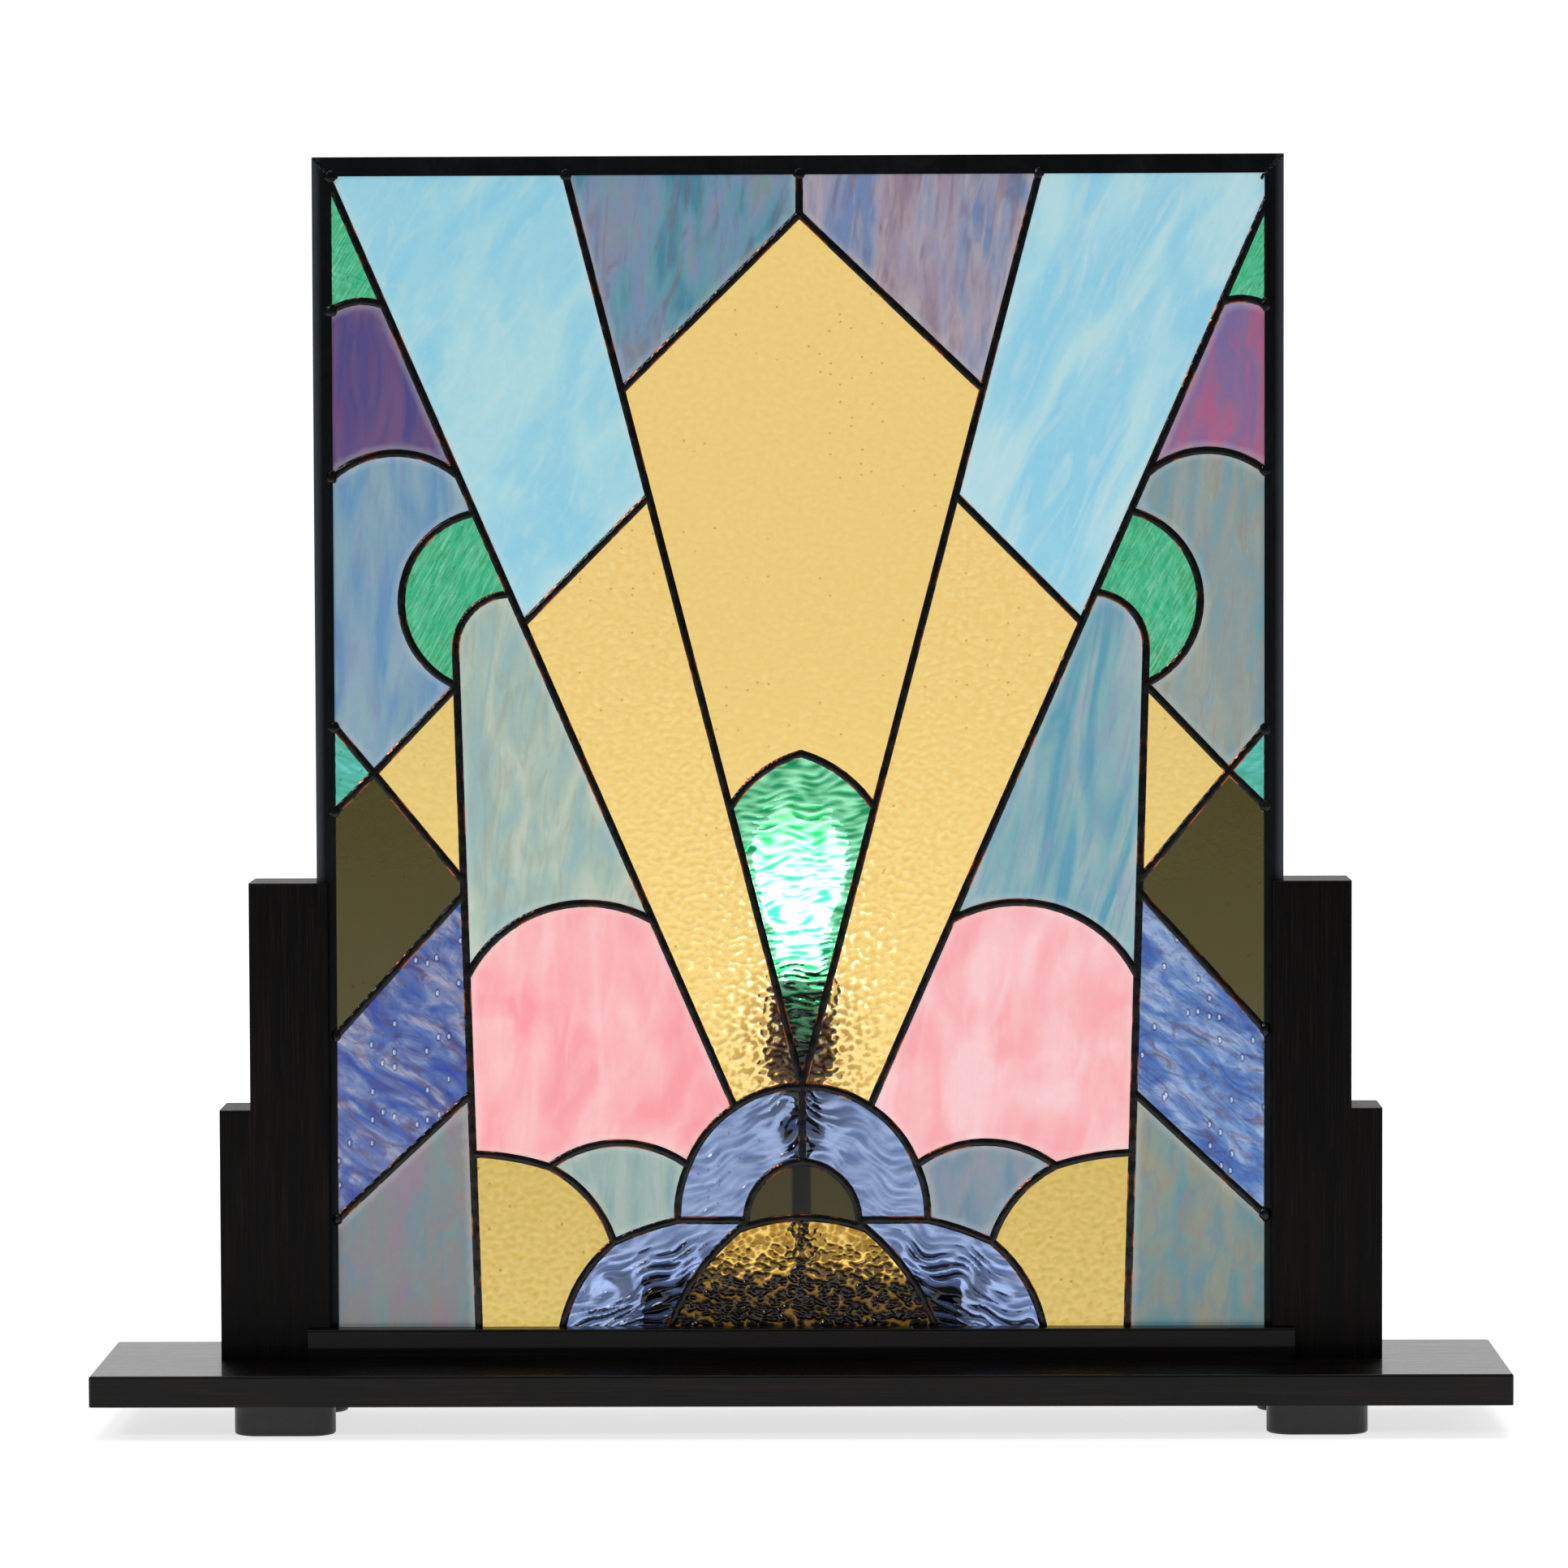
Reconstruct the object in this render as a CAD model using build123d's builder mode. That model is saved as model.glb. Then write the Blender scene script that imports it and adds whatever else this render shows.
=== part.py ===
"""Stained glass panel lamp: a leaded panel standing in two grooved wooden posts on a board, lit from behind.

Units are millimetres. X runs along the board, Y from front to back, Z up from the floor.
The origin is on the floor under the middle of the board.
"""

import os
from math import cos, radians, sin

from build123d import *

os.makedirs("parts", exist_ok=True)

# ---- Driving sizes ----
base_width = 700.0
base_depth = 124.5
base_thick = 15.4
base_corner_radius = 2.0
edge_round = 1.2  # softened edge of every wooden piece

foot_height = 16.3
foot_length = 50.0
foot_depth = 24.0
foot_end_inset = 69.8  # from the board's end to the foot's end
foot_side_inset = 12.0  # from the board's long edge to the foot

panel_width = 482.0
panel_height = 599.5
panel_setback = 61.6  # from the board's front edge to the front of the panel's frame
came_face = 9.5
came_thick = 5.2
came_heart = 1.2  # thickness of the channel's back
glass_thick = 3.0
glass_clearance = 0.2  # between each face of the glass and the lip beside it
glass_in_came = 6.0  # how far the glass reaches under the lips
glass_gap = 0.9  # between neighbouring pieces of glass
foil_thick = 0.05  # copper foil on each glass edge
bead_width = 3.8
bead_height = 0.6

post_setback = 55.0
post_width = 39.4
post_depth = 39.8
post_height = 239.0
post_step_width = 15.4
post_step_height = 125.5
groove_depth = 5.8  # how far the panel reaches into each post
groove_clearance = 0.3

rail_setback = 50.0
rail_height = 16.0
rail_overlap = 10.9  # how far the rail laps over each post's face

lamp_setback = 95.0
block_width = 160.0
block_depth = 44.0
block_height = 39.5
pipe_radius = 4.8
pipe_bore_radius = 3.5
pipe_hole_clearance = 0.2
counterbore_radius = 13.0
counterbore_depth = 9.4
washer_radius = 11.0
washer_thick = 1.2
nut_across_flats = 14.0
nut_thick = 3.5
pipe_below_nut = 2.0
cord_hole_radius = 3.5
cord_hole_height = 5.4  # above the board's underside

cover_width = 180.0
cover_thick = 5.0
cover_front_setback = 60.0
cover_rear_setback = 116.0

socket_height = 132.3  # from the board's top to the underside of the socket cap
cap_hub_radius = 7.5
cap_hub_height = 4.0
cap_height = 15.0
socket_radius = 17.0
socket_wall = 0.7
socket_fit = 0.15
shell_height = 45.0
core_radius = 14.0
core_height = 22.0
core_lift = 8.2  # the core's underside above the cap's underside
sleeve_height = 24.0
thread_radius = 13.0
thread_clearance = 0.25
sheet_thick = 0.5
contact_radius = 4.5
contact_thick = 1.5

knob_shaft_radius = 1.8
knob_shaft_clearance = 0.05
knob_key_width = 12.0
knob_key_height = 5.0
knob_key_length = 9.5
knob_gap = 1.4  # between the socket's side and the key
knob_lift = 11.0  # the shaft's middle above the core's underside

bulb_radius = 24.0
bulb_glass_height = 107.0
bulb_neck_radius = 12.2
bulb_wall = 0.8
bulb_cap_height = 22.5
bulb_tip_thick = 1.0
bulb_insulator_thick = 2.0
bulb_contact_gap = 0.1
stem_radius = 4.0
stem_rise = 52.0
filament_radius = 9.0
filament_wire_radius = 0.4

screw_radius = 2.0
screw_head_radius = 4.0
screw_head_height = 2.4
screw_clearance = 0.1
post_screw_length = 45.0
foot_screw_length = 24.0
foot_screw_recess = 4.0
cover_screw_length = 14.0
cover_screw_inset = 10.0
post_screw_spacing = 18.0

# ---- Places worked out from them ----
base_bottom = foot_height
base_top = base_bottom + base_thick
base_front = -base_depth / 2
panel_y = base_front + panel_setback + came_thick / 2
came_leaf = (came_thick - glass_thick) / 2 - glass_clearance  # thickness of the channel's two lips
lamp_y = base_front + lamp_setback
post_front = base_front + post_setback
post_middle_y = post_front + post_depth / 2
post_inner_x = panel_width / 2 - groove_depth
foot_x = base_width / 2 - foot_end_inset - foot_length / 2
foot_y = base_depth / 2 - foot_side_inset - foot_depth / 2
counterbore_top = base_bottom + counterbore_depth
nut_bottom = counterbore_top - washer_thick - nut_thick
pipe_bottom = nut_bottom - pipe_below_nut
socket_bottom = base_top + socket_height
core_bottom = socket_bottom + core_lift
core_top = core_bottom + core_height
knob_z = core_bottom + knob_lift
bulb_bottom = core_top + contact_thick + bulb_contact_gap
bulb_cap_bottom = bulb_bottom + bulb_tip_thick + bulb_insulator_thick
bulb_neck_bottom = bulb_cap_bottom + sheet_thick
bulb_widest_z = bulb_neck_bottom + bulb_glass_height - bulb_radius
cover_depth = cover_rear_setback - cover_front_setback
cover_middle_y = base_front + (cover_front_setback + cover_rear_setback) / 2
pipe_hole_radius = pipe_radius + pipe_hole_clearance
post_screw_x = post_inner_x + post_width / 2
sides = {"left": -1, "right": 1}
panel_plane = Plane(origin=(0, panel_y, 0), x_dir=(1, 0, 0), z_dir=(0, -1, 0))


def save(builder, name):
    builder.part.label = name
    export_step(builder.part, f"parts/{name}.step")


# ---- Screws, shared by the holes that they sit in ----
def add_screws(places, length, clearance=0.0, mode=Mode.ADD):
    """Countersunk screws driven upward, each head's face at its place."""
    with Locations(*places):
        Cone(
            screw_head_radius + clearance,
            screw_radius + clearance,
            screw_head_height,
            align=(Align.CENTER, Align.CENTER, Align.MIN),
            mode=mode,
        )
        Cylinder(
            screw_radius + clearance,
            length + clearance,
            align=(Align.CENTER, Align.CENTER, Align.MIN),
            mode=mode,
        )


foot_places = [(sx * foot_x, sy * foot_y) for sx in (-1, 1) for sy in (-1, 1)]
foot_screw_places = [(x, y, foot_screw_recess) for x, y in foot_places]
post_screw_places = [
    (sx * post_screw_x, post_middle_y + sy * post_screw_spacing / 2, base_bottom)
    for sx in (-1, 1)
    for sy in (-1, 1)
]
cover_screw_places = [
    (
        sx * (cover_width / 2 - cover_screw_inset),
        cover_middle_y + sy * (cover_depth / 2 - cover_screw_inset),
        base_bottom - cover_thick,
    )
    for sx in (-1, 1)
    for sy in (-1, 1)
]

with BuildPart() as post_screws:
    add_screws(post_screw_places, post_screw_length)
save(post_screws, "post_screws")

with BuildPart() as foot_screws:
    add_screws(foot_screw_places, foot_screw_length)
save(foot_screws, "foot_screws")

with BuildPart() as cover_screws:
    add_screws(cover_screw_places, cover_screw_length)
save(cover_screws, "cover_screws")

# ---- Board, feet and wiring cover ----
with BuildPart() as base_board:
    with BuildSketch(Plane.XY.offset(base_bottom)):
        RectangleRounded(base_width, base_depth, base_corner_radius)
    extrude(amount=base_thick)
    fillet(base_board.faces().sort_by(Axis.Z)[-1].edges(), edge_round)
    with Locations((0, lamp_y, base_bottom)):
        Cylinder(
            pipe_hole_radius,
            base_thick,
            align=(Align.CENTER, Align.CENTER, Align.MIN),
            mode=Mode.SUBTRACT,
        )
        Cylinder(
            counterbore_radius,
            counterbore_depth,
            align=(Align.CENTER, Align.CENTER, Align.MIN),
            mode=Mode.SUBTRACT,
        )
    with BuildSketch(Plane.XZ.offset(-lamp_y)):
        with Locations((0, base_bottom + cord_hole_height)):
            Circle(cord_hole_radius)
    extrude(amount=-(base_depth / 2 - lamp_y), mode=Mode.SUBTRACT)
    add_screws(post_screw_places, post_screw_length, screw_clearance, Mode.SUBTRACT)
    add_screws(foot_screw_places, foot_screw_length, screw_clearance, Mode.SUBTRACT)
    add_screws(cover_screw_places, cover_screw_length, screw_clearance, Mode.SUBTRACT)
save(base_board, "base_board")

for (x, y), name in zip(foot_places, ("front_left", "rear_left", "front_right", "rear_right")):
    with BuildPart() as foot:
        with BuildSketch():
            with Locations((x, y)):
                SlotOverall(foot_length, foot_depth)
        extrude(amount=foot_height)
        fillet(foot.faces().sort_by(Axis.Z)[0].edges(), edge_round)
        with Locations((x, y)):
            Cylinder(
                screw_head_radius + screw_clearance,
                foot_screw_recess,
                align=(Align.CENTER, Align.CENTER, Align.MIN),
                mode=Mode.SUBTRACT,
            )
        add_screws([(x, y, foot_screw_recess)], foot_screw_length, screw_clearance, Mode.SUBTRACT)
    save(foot, f"foot_{name}")

with BuildPart() as under_cover:
    with Locations((0, cover_middle_y, base_bottom)):
        Box(cover_width, cover_depth, cover_thick, align=(Align.CENTER, Align.CENTER, Align.MAX))
    fillet(under_cover.faces().sort_by(Axis.Z)[0].edges(), edge_round)
    add_screws(cover_screw_places, cover_screw_length, screw_clearance, Mode.SUBTRACT)
save(under_cover, "under_cover")

# ---- Posts and rail ----
groove_width = came_thick + 2 * groove_clearance
for side_name, side in sides.items():
    inner, outer = post_inner_x, post_inner_x + post_width
    step = outer + post_step_width
    with BuildPart() as post:
        with BuildSketch(Plane.XZ.offset(-post_front)):
            Polygon(
                (side * inner, base_top),
                (side * step, base_top),
                (side * step, base_top + post_step_height),
                (side * outer, base_top + post_step_height),
                (side * outer, base_top + post_height),
                (side * inner, base_top + post_height),
                align=None,
            )
        extrude(amount=-post_depth)
        outline_edges = post.faces().filter_by(Axis.Y).edges()
        above_board = outline_edges.filter_by_position(Axis.Z, base_top + edge_round, base_top + post_height)
        fillet(above_board, edge_round)
        with Locations((side * inner, panel_y, base_top)):
            Box(
                2 * (groove_depth + groove_clearance),
                groove_width,
                post_height,
                align=(Align.CENTER, Align.CENTER, Align.MIN),
                mode=Mode.SUBTRACT,
            )
        add_screws(post_screw_places, post_screw_length, screw_clearance, Mode.SUBTRACT)
    save(post, f"post_{side_name}")

rail_front = base_front + rail_setback
rail_back = panel_y - groove_width / 2
rail_end = post_inner_x + rail_overlap
with BuildPart() as bottom_rail:
    with BuildSketch(Plane.XY.offset(base_top)):
        with Locations((0, rail_front)):
            Rectangle(2 * rail_end, post_front - rail_front, align=(Align.CENTER, Align.MIN))
            Rectangle(2 * post_inner_x, rail_back - rail_front, align=(Align.CENTER, Align.MIN))
    extrude(amount=rail_height)
    fillet(bottom_rail.faces().sort_by(Axis.Y)[0].edges().sort_by(Axis.Z)[-1], edge_round)
save(bottom_rail, "bottom_rail")


# ---- Frame of the panel: four mitred lengths of channel ----
def panel_corners(inset):
    """The corners of the panel's rectangle, brought in by inset, anticlockwise from the lower left."""
    x, low, high = panel_width / 2 - inset, base_top + inset, base_top + panel_height - inset
    return [(-x, low), (x, low), (x, high), (-x, high)]


channel_width = came_thick - 2 * came_leaf
came_outline = panel_corners(0), panel_corners(came_heart), panel_corners(came_face)
for i, name in enumerate(("bottom", "right", "top", "left")):
    j = (i + 1) % 4
    outer, heart, inner = came_outline
    with BuildPart() as came:
        with BuildSketch(panel_plane):
            Polygon(outer[i], outer[j], inner[j], inner[i], align=None)
        extrude(amount=came_thick / 2, both=True)
        with BuildSketch(panel_plane):
            Polygon(heart[i], heart[j], inner[j], inner[i], align=None)
        extrude(amount=channel_width / 2, both=True, mode=Mode.SUBTRACT)
    save(came, f"came_{name}")

# ---- Cartoon of the glass: drawn for one panel size and stretched to this one ----
cartoon_width, cartoon_height = 482.0, 599.5
cartoon_middle = 0.9  # the pattern's middle line, right of the panel's
past_top, past_side, past_bottom = 612.0, 252.0, -6.0  # outside the glass, where it is trimmed
side_edge = 238.5
green_end, lilac_end, triangle_end, diamond_end, olive_end, blue_end = 518.4, 434.8, 323.8, 268.3, 155.6, 64.4
side_heights = (
    past_top,
    green_end,
    lilac_end,
    triangle_end,
    diamond_end,
    olive_end,
    blue_end,
    past_bottom,
)
dome_foot, quarter_foot = (71.5, past_bottom), (121.5, past_bottom)
outer_ray_top = {"left": 243.7, "right": 247.3}
inner_ray_top = {"left": 121.4, "right": 124.6}
outer_ray_foot = (33.8, 125.8)
ray_tip = (0.0, 135.9)
stem_top, stem_foot = (171.9, 354.3), (162.0, 8.0)


def on_line(first, second, height):
    """The point at this height on the line through two points."""
    share = (height - first[1]) / (second[1] - first[1])
    return first[0] + share * (second[0] - first[0]), height


def seams_on(side_name):
    """Each seam of one half of the pattern, as the edges that it is made of."""
    side = sides[side_name]

    def place(point):
        across = (cartoon_middle + side * point[0]) * panel_width / cartoon_width
        return across, base_top + point[1] * panel_height / cartoon_height

    def line(*points):
        return [Edge.make_line(place(p), place(q)) for p, q in zip(points, points[1:])]

    def arc(start, middle, end):
        return [Edge.make_three_point_arc(place(start), place(middle), place(end))]

    def to_side(start, edge_height, middle=None):
        """A seam that runs into the frame, and on past the glass."""
        edge = (side_edge, edge_height)
        run = arc(start, middle, edge) if middle else line(start, edge)
        return run + line(edge, (past_side, edge_height))

    def ray(height):
        return on_line(outer_ray_foot, (outer_ray_top[side_name], past_top), height)

    def inner(height):
        return on_line(ray_tip, (inner_ray_top[side_name], past_top), height)

    def stem(height):
        return on_line(stem_top, stem_foot, height)

    crown, roof, fan, shoulder = (0, 570.5), inner(483.4), inner(430.9), inner(275.3)
    green, lilac, leaf, bud, hip, knee = (ray(h) for h in (526.1, 441.2, 422.9, 382.5, 367.6, 219.3))
    calyx, diamond = stem(336.8), (213.0, 293.3)
    kite_foot, olive_foot, cheek, hem, seat = (stem(h) for h in (239.1, 233.1, 191.4, 132.8, 102.6))
    petal, petal_foot, wedge, ledge = (126.6, 96.1), (94.5, 58.1), (57.1, 96.7), (62.5, 69.0)
    keystone, sill, spring = (0, 98.4), (28.2, 69.0), (31.8, 64.5)
    return {
        "centre_top": line((0, past_top), crown),
        "top_inner": line((0, past_top), inner(past_top)),
        "top_outer": line(inner(past_top), ray(past_top)),
        "top_corner": line(ray(past_top), (past_side, past_top)),
        "roof": line(crown, roof),
        "inner_1": line(inner(past_top), roof),
        "inner_2": line(roof, fan),
        "inner_3": line(fan, shoulder),
        "inner_4": line(shoulder, ray_tip),
        "shoulder_arch": arc(shoulder, (22.4, 290.9), (0, 302.6)),
        "fan_top": line(fan, hip),
        "ray_1": line(ray(past_top), green),
        "ray_2": line(green, lilac),
        "ray_3": line(lilac, leaf),
        "ray_4": line(leaf, bud),
        "ray_5": line(bud, hip),
        "ray_6": line(hip, knee),
        "ray_7": line(knee, outer_ray_foot),
        "green_arc": to_side(green, green_end, (223.0, 527.6)),
        "lilac_arc": to_side(lilac, lilac_end, (202.0, 452.8)),
        "leaf_outer": arc(leaf, (198.8, 379.0), calyx),
        "leaf_inner": arc(bud, (166.0, 372.0), stem_top),
        "stem_1": line(stem_top, calyx),
        "stem_2": line(calyx, kite_foot),
        "stem_3": line(kite_foot, olive_foot),
        "stem_4": line(olive_foot, cheek),
        "stem_5": line(cheek, hem),
        "stem_6": line(hem, seat),
        "stem_7": line(seat, stem(past_bottom)),
        "kite_top": line(calyx, diamond),
        "kite_low": line(diamond, kite_foot),
        "triangle_top": to_side(diamond, triangle_end),
        "triangle_low": to_side(diamond, diamond_end),
        "olive_low": to_side(olive_foot, olive_end),
        "blue_low": to_side(hem, blue_end),
        "pink_arch": arc(cheek, (115.4, 227.7), knee),
        "petal_top": arc(seat, (144.5, 100.6), petal),
        "petal_side": arc(petal, (107.4, 81.2), petal_foot),
        "wedge_top": arc(petal, (95.3, 107.9), wedge),
        "wedge_side": arc(wedge, (61.2, 84.4), ledge),
        "rainbow_top": arc(ray_tip, (18.9, 133.3), outer_ray_foot),
        "rainbow_side": arc(outer_ray_foot, (47.6, 113.4), wedge),
        "keystone_line": line(ray_tip, keystone),
        "small_dome": arc(sill, (19.7, 89.2), keystone),
        "ledge_line": line(ledge, sill),
        "sill_line": line(sill, spring),
        "big_dome_top": arc(spring, (16.1, 68.8), (0, 70.2)),
        "big_dome_side": arc(spring, (55.0, 38.5), dome_foot),
        "quarter_top": arc(petal_foot, (78.5, 64.6), ledge),
        "quarter_side": arc(petal_foot, (112.6, 36.5), quarter_foot),
        "bottom_1": line((0, past_bottom), dome_foot),
        "bottom_2": line(dome_foot, quarter_foot),
        "bottom_3": line(quarter_foot, stem(past_bottom)),
        "bottom_4": line(stem(past_bottom), (past_side, past_bottom)),
        **{
            f"side_{number}": line((past_side, upper), (past_side, lower))
            for number, (upper, lower) in enumerate(zip(side_heights, side_heights[1:]), start=1)
        },
    }


seams = {side_name: seams_on(side_name) for side_name in sides}
half_panes = {  # each piece of glass that the pattern repeats on both sides, and the seams round it
    "light_blue": "inner_1 inner_2 fan_top top_outer ray_1 ray_2 ray_3 ray_4 ray_5",
    "upper_grey": "centre_top roof inner_1 top_inner",
    "purple": "green_arc ray_2 lilac_arc side_2",
    "side_opal": "lilac_arc ray_3 leaf_outer kite_top triangle_top side_3",
    "tall_opal": "leaf_inner ray_5 ray_6 pink_arch stem_1 stem_2 stem_3 stem_4",
    "corner_green": "top_corner ray_1 green_arc side_1",
    "green_leaf": "ray_4 leaf_outer leaf_inner stem_1",
    "gold_kite": "kite_top kite_low stem_2",
    "side_triangle": "triangle_top triangle_low side_4",
    "olive": "kite_low stem_3 olive_low side_5 triangle_low",
    "streaky_blue": "stem_4 stem_5 blue_low side_6 olive_low",
    "bottom_corner": "stem_6 stem_7 bottom_4 side_7 blue_low",
    "pink": "stem_5 stem_6 petal_top wedge_top rainbow_side ray_7 pink_arch",
    "gold_petal": "petal_top petal_side quarter_side bottom_3 stem_7",
    "opal_wedge": "petal_side wedge_top wedge_side quarter_top",
    "rainbow": "rainbow_top rainbow_side wedge_side ledge_line small_dome keystone_line",
    "blue_quarter": "quarter_top ledge_line sill_line big_dome_side bottom_2 quarter_side",
    "gold_ray": "inner_3 inner_4 fan_top ray_6 ray_7 rainbow_top",
}
middle_panes = {  # each piece that crosses the middle line, and the seams round one half of it
    "centre_gold": "roof inner_2 inner_3 shoulder_arch",
    "teardrop": "shoulder_arch inner_4",
    "small_dome": "small_dome sill_line big_dome_top",
    "big_dome": "big_dome_top big_dome_side bottom_1",
}
own_node = ("light_blue", "upper_grey", "purple", "side_opal", "tall_opal")  # one node a side


def pane(*halves):
    """One piece's outline as a face, from the seam names of each side that it has."""
    edges = [edge for side_name, names in halves for name in names.split() for edge in seams[side_name][name]]
    return make_face(edges, mode=Mode.PRIVATE).face()


def inset_pane(face, amount):
    return offset(face, -amount, mode=Mode.PRIVATE)


def clear_rectangle(inset, mode):
    """The panel's rectangle, brought in by inset, on the sketch being drawn."""
    with Locations((0, base_top + panel_height / 2)):
        Rectangle(panel_width - 2 * inset, panel_height - 2 * inset, mode=mode)


panes = {}
for name, names in half_panes.items():
    for side_name in sides:
        node = f"glass_{name}_{side_name}" if name in own_node else f"glass_{name}"
        panes.setdefault(node, []).append(pane((side_name, names)))
for name, names in middle_panes.items():
    panes[f"glass_{name}"] = [pane(*((side_name, names) for side_name in sides))]

for node, faces in panes.items():
    with BuildPart() as glass:
        with BuildSketch(panel_plane):
            for face in faces:
                add(inset_pane(face, glass_gap / 2))
            clear_rectangle(came_face - glass_in_came, Mode.INTERSECT)
        extrude(amount=glass_thick / 2, both=True)
    save(glass, node)

# ---- Solder: a web between the glass edges, with a bead along it on each face ----
all_faces = [face for faces in panes.values() for face in faces]
with BuildPart() as solder_seams:
    with BuildSketch(panel_plane):
        clear_rectangle(came_face, Mode.ADD)
        for face in all_faces:
            add(inset_pane(face, glass_gap / 2 - foil_thick), mode=Mode.SUBTRACT)
    extrude(amount=glass_thick / 2, both=True)
    for start in (glass_thick / 2, -glass_thick / 2 - bead_height):
        with BuildSketch(panel_plane.offset(start)):
            clear_rectangle(came_face, Mode.ADD)
            for face in all_faces:
                add(inset_pane(face, bead_width / 2), mode=Mode.SUBTRACT)
        extrude(amount=bead_height)
save(solder_seams, "solder_seams")

# ---- Lamp block, pipe and its fixings ----
lamp_axis = Plane(origin=(0, lamp_y, 0))
with BuildPart() as lamp_block:
    with Locations((0, lamp_y, base_top)):
        Box(block_width, block_depth, block_height, align=(Align.CENTER, Align.CENTER, Align.MIN))
    edges_above_base = lamp_block.edges() - lamp_block.faces().sort_by(Axis.Z)[0].edges()
    fillet(edges_above_base, edge_round)
    with Locations((0, lamp_y, base_top)):
        Cylinder(
            pipe_hole_radius,
            block_height,
            align=(Align.CENTER, Align.CENTER, Align.MIN),
            mode=Mode.SUBTRACT,
        )
save(lamp_block, "lamp_block")


def ring(bottom, height, outer, hole):
    """A round tube or washer on the lamp's axis, added to the part being built."""
    with Locations((0, lamp_y, bottom)):
        Cylinder(outer, height, align=(Align.CENTER, Align.CENTER, Align.MIN))
        Cylinder(hole, height, align=(Align.CENTER, Align.CENTER, Align.MIN), mode=Mode.SUBTRACT)


with BuildPart() as lamp_pipe:
    ring(pipe_bottom, socket_bottom - pipe_bottom, pipe_radius, pipe_bore_radius)
save(lamp_pipe, "lamp_pipe")

with BuildPart() as pipe_washer:
    ring(counterbore_top - washer_thick, washer_thick, washer_radius, pipe_radius)
save(pipe_washer, "pipe_washer")

for name, bottom in (("lower_nut", nut_bottom), ("block_nut", base_top + block_height)):
    with BuildPart() as nut:
        with BuildSketch(lamp_axis.offset(bottom)):
            RegularPolygon(nut_across_flats / 2, 6, major_radius=False)
            Circle(pipe_radius, mode=Mode.SUBTRACT)
        extrude(amount=nut_thick)
    save(nut, name)

# ---- Socket ----
section = Plane(origin=(0, lamp_y, 0), x_dir=(1, 0, 0), z_dir=(0, -1, 0))
lamp_line = Axis((0, lamp_y, 0), (0, 0, 1))


def turned(*points):
    """A solid turned about the lamp's axis from a closed outline of (radius, height) points."""
    outline = Wire.make_polygon([(radius, lamp_y, height) for radius, height in points], close=True)
    revolve(Face(outline), axis=lamp_line)


cap_radius = socket_radius + socket_fit + socket_wall
cap_rim = socket_bottom + cap_height
with BuildPart() as socket_cap:
    turned(
        (pipe_radius, socket_bottom - cap_hub_height),
        (cap_hub_radius, socket_bottom - cap_hub_height),
        (cap_hub_radius, socket_bottom),
        (cap_radius, socket_bottom + cap_height / 2),
        (cap_radius, cap_rim),
        (cap_radius - socket_wall, cap_rim),
        (cap_radius - socket_wall, socket_bottom + cap_height / 2),
        (cap_hub_radius, socket_bottom + socket_wall),
        (pipe_radius, socket_bottom + socket_wall),
    )
save(socket_cap, "socket_cap")

shell_bottom = socket_bottom + cap_height / 2 + socket_wall
shell_top = shell_bottom + shell_height
knob_plane = Plane(origin=(0, lamp_y, knob_z), x_dir=(1, 0, 0), z_dir=(0, 1, 0))
with BuildPart() as socket_shell:
    ring(shell_bottom, shell_height, socket_radius, socket_radius - socket_wall)
    with BuildSketch(knob_plane):
        Circle(2 * knob_shaft_radius)
    extrude(amount=2 * socket_radius, mode=Mode.SUBTRACT)
save(socket_shell, "socket_shell")

with BuildPart() as socket_core:
    with BuildSketch(lamp_axis.offset(core_bottom)):
        Circle(core_radius)
    extrude(amount=core_height)
    with BuildSketch(knob_plane.offset(core_radius / 2)):
        Circle(knob_shaft_radius + knob_shaft_clearance)
    extrude(amount=core_radius, mode=Mode.SUBTRACT)
save(socket_core, "socket_core")

sleeve_radius = thread_radius + thread_clearance
with BuildPart() as screw_sleeve:
    ring(core_top, sleeve_height, sleeve_radius + sheet_thick, sleeve_radius)
save(screw_sleeve, "screw_sleeve")

with BuildPart() as centre_contact:
    with BuildSketch(lamp_axis.offset(core_top)):
        Circle(contact_radius)
    extrude(amount=contact_thick)
save(centre_contact, "centre_contact")

# ---- Switch knob, turned by its flat key ----
with BuildPart() as switch_knob:
    with BuildSketch(knob_plane.offset(core_radius / 2 + knob_shaft_clearance)):
        Circle(knob_shaft_radius)
    extrude(amount=socket_radius + knob_gap - core_radius / 2)
    with BuildSketch(knob_plane.offset(socket_radius + knob_gap)):
        SlotOverall(knob_key_width, knob_key_height)
    extrude(amount=knob_key_length)
    fillet(switch_knob.faces().sort_by(Axis.Y)[-1].edges(), edge_round)
save(switch_knob, "switch_knob")

# ---- Bulb ----
with BuildPart() as bulb_cap:
    ring(bulb_cap_bottom, bulb_cap_height, thread_radius, thread_radius - sheet_thick)
save(bulb_cap, "bulb_cap")

with BuildPart() as bulb_insulator:
    turned(
        (0, bulb_bottom),
        (contact_radius, bulb_bottom),
        (contact_radius, bulb_bottom + bulb_tip_thick),
        (thread_radius, bulb_cap_bottom),
        (0, bulb_cap_bottom),
    )
save(bulb_insulator, "bulb_insulator")


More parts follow.
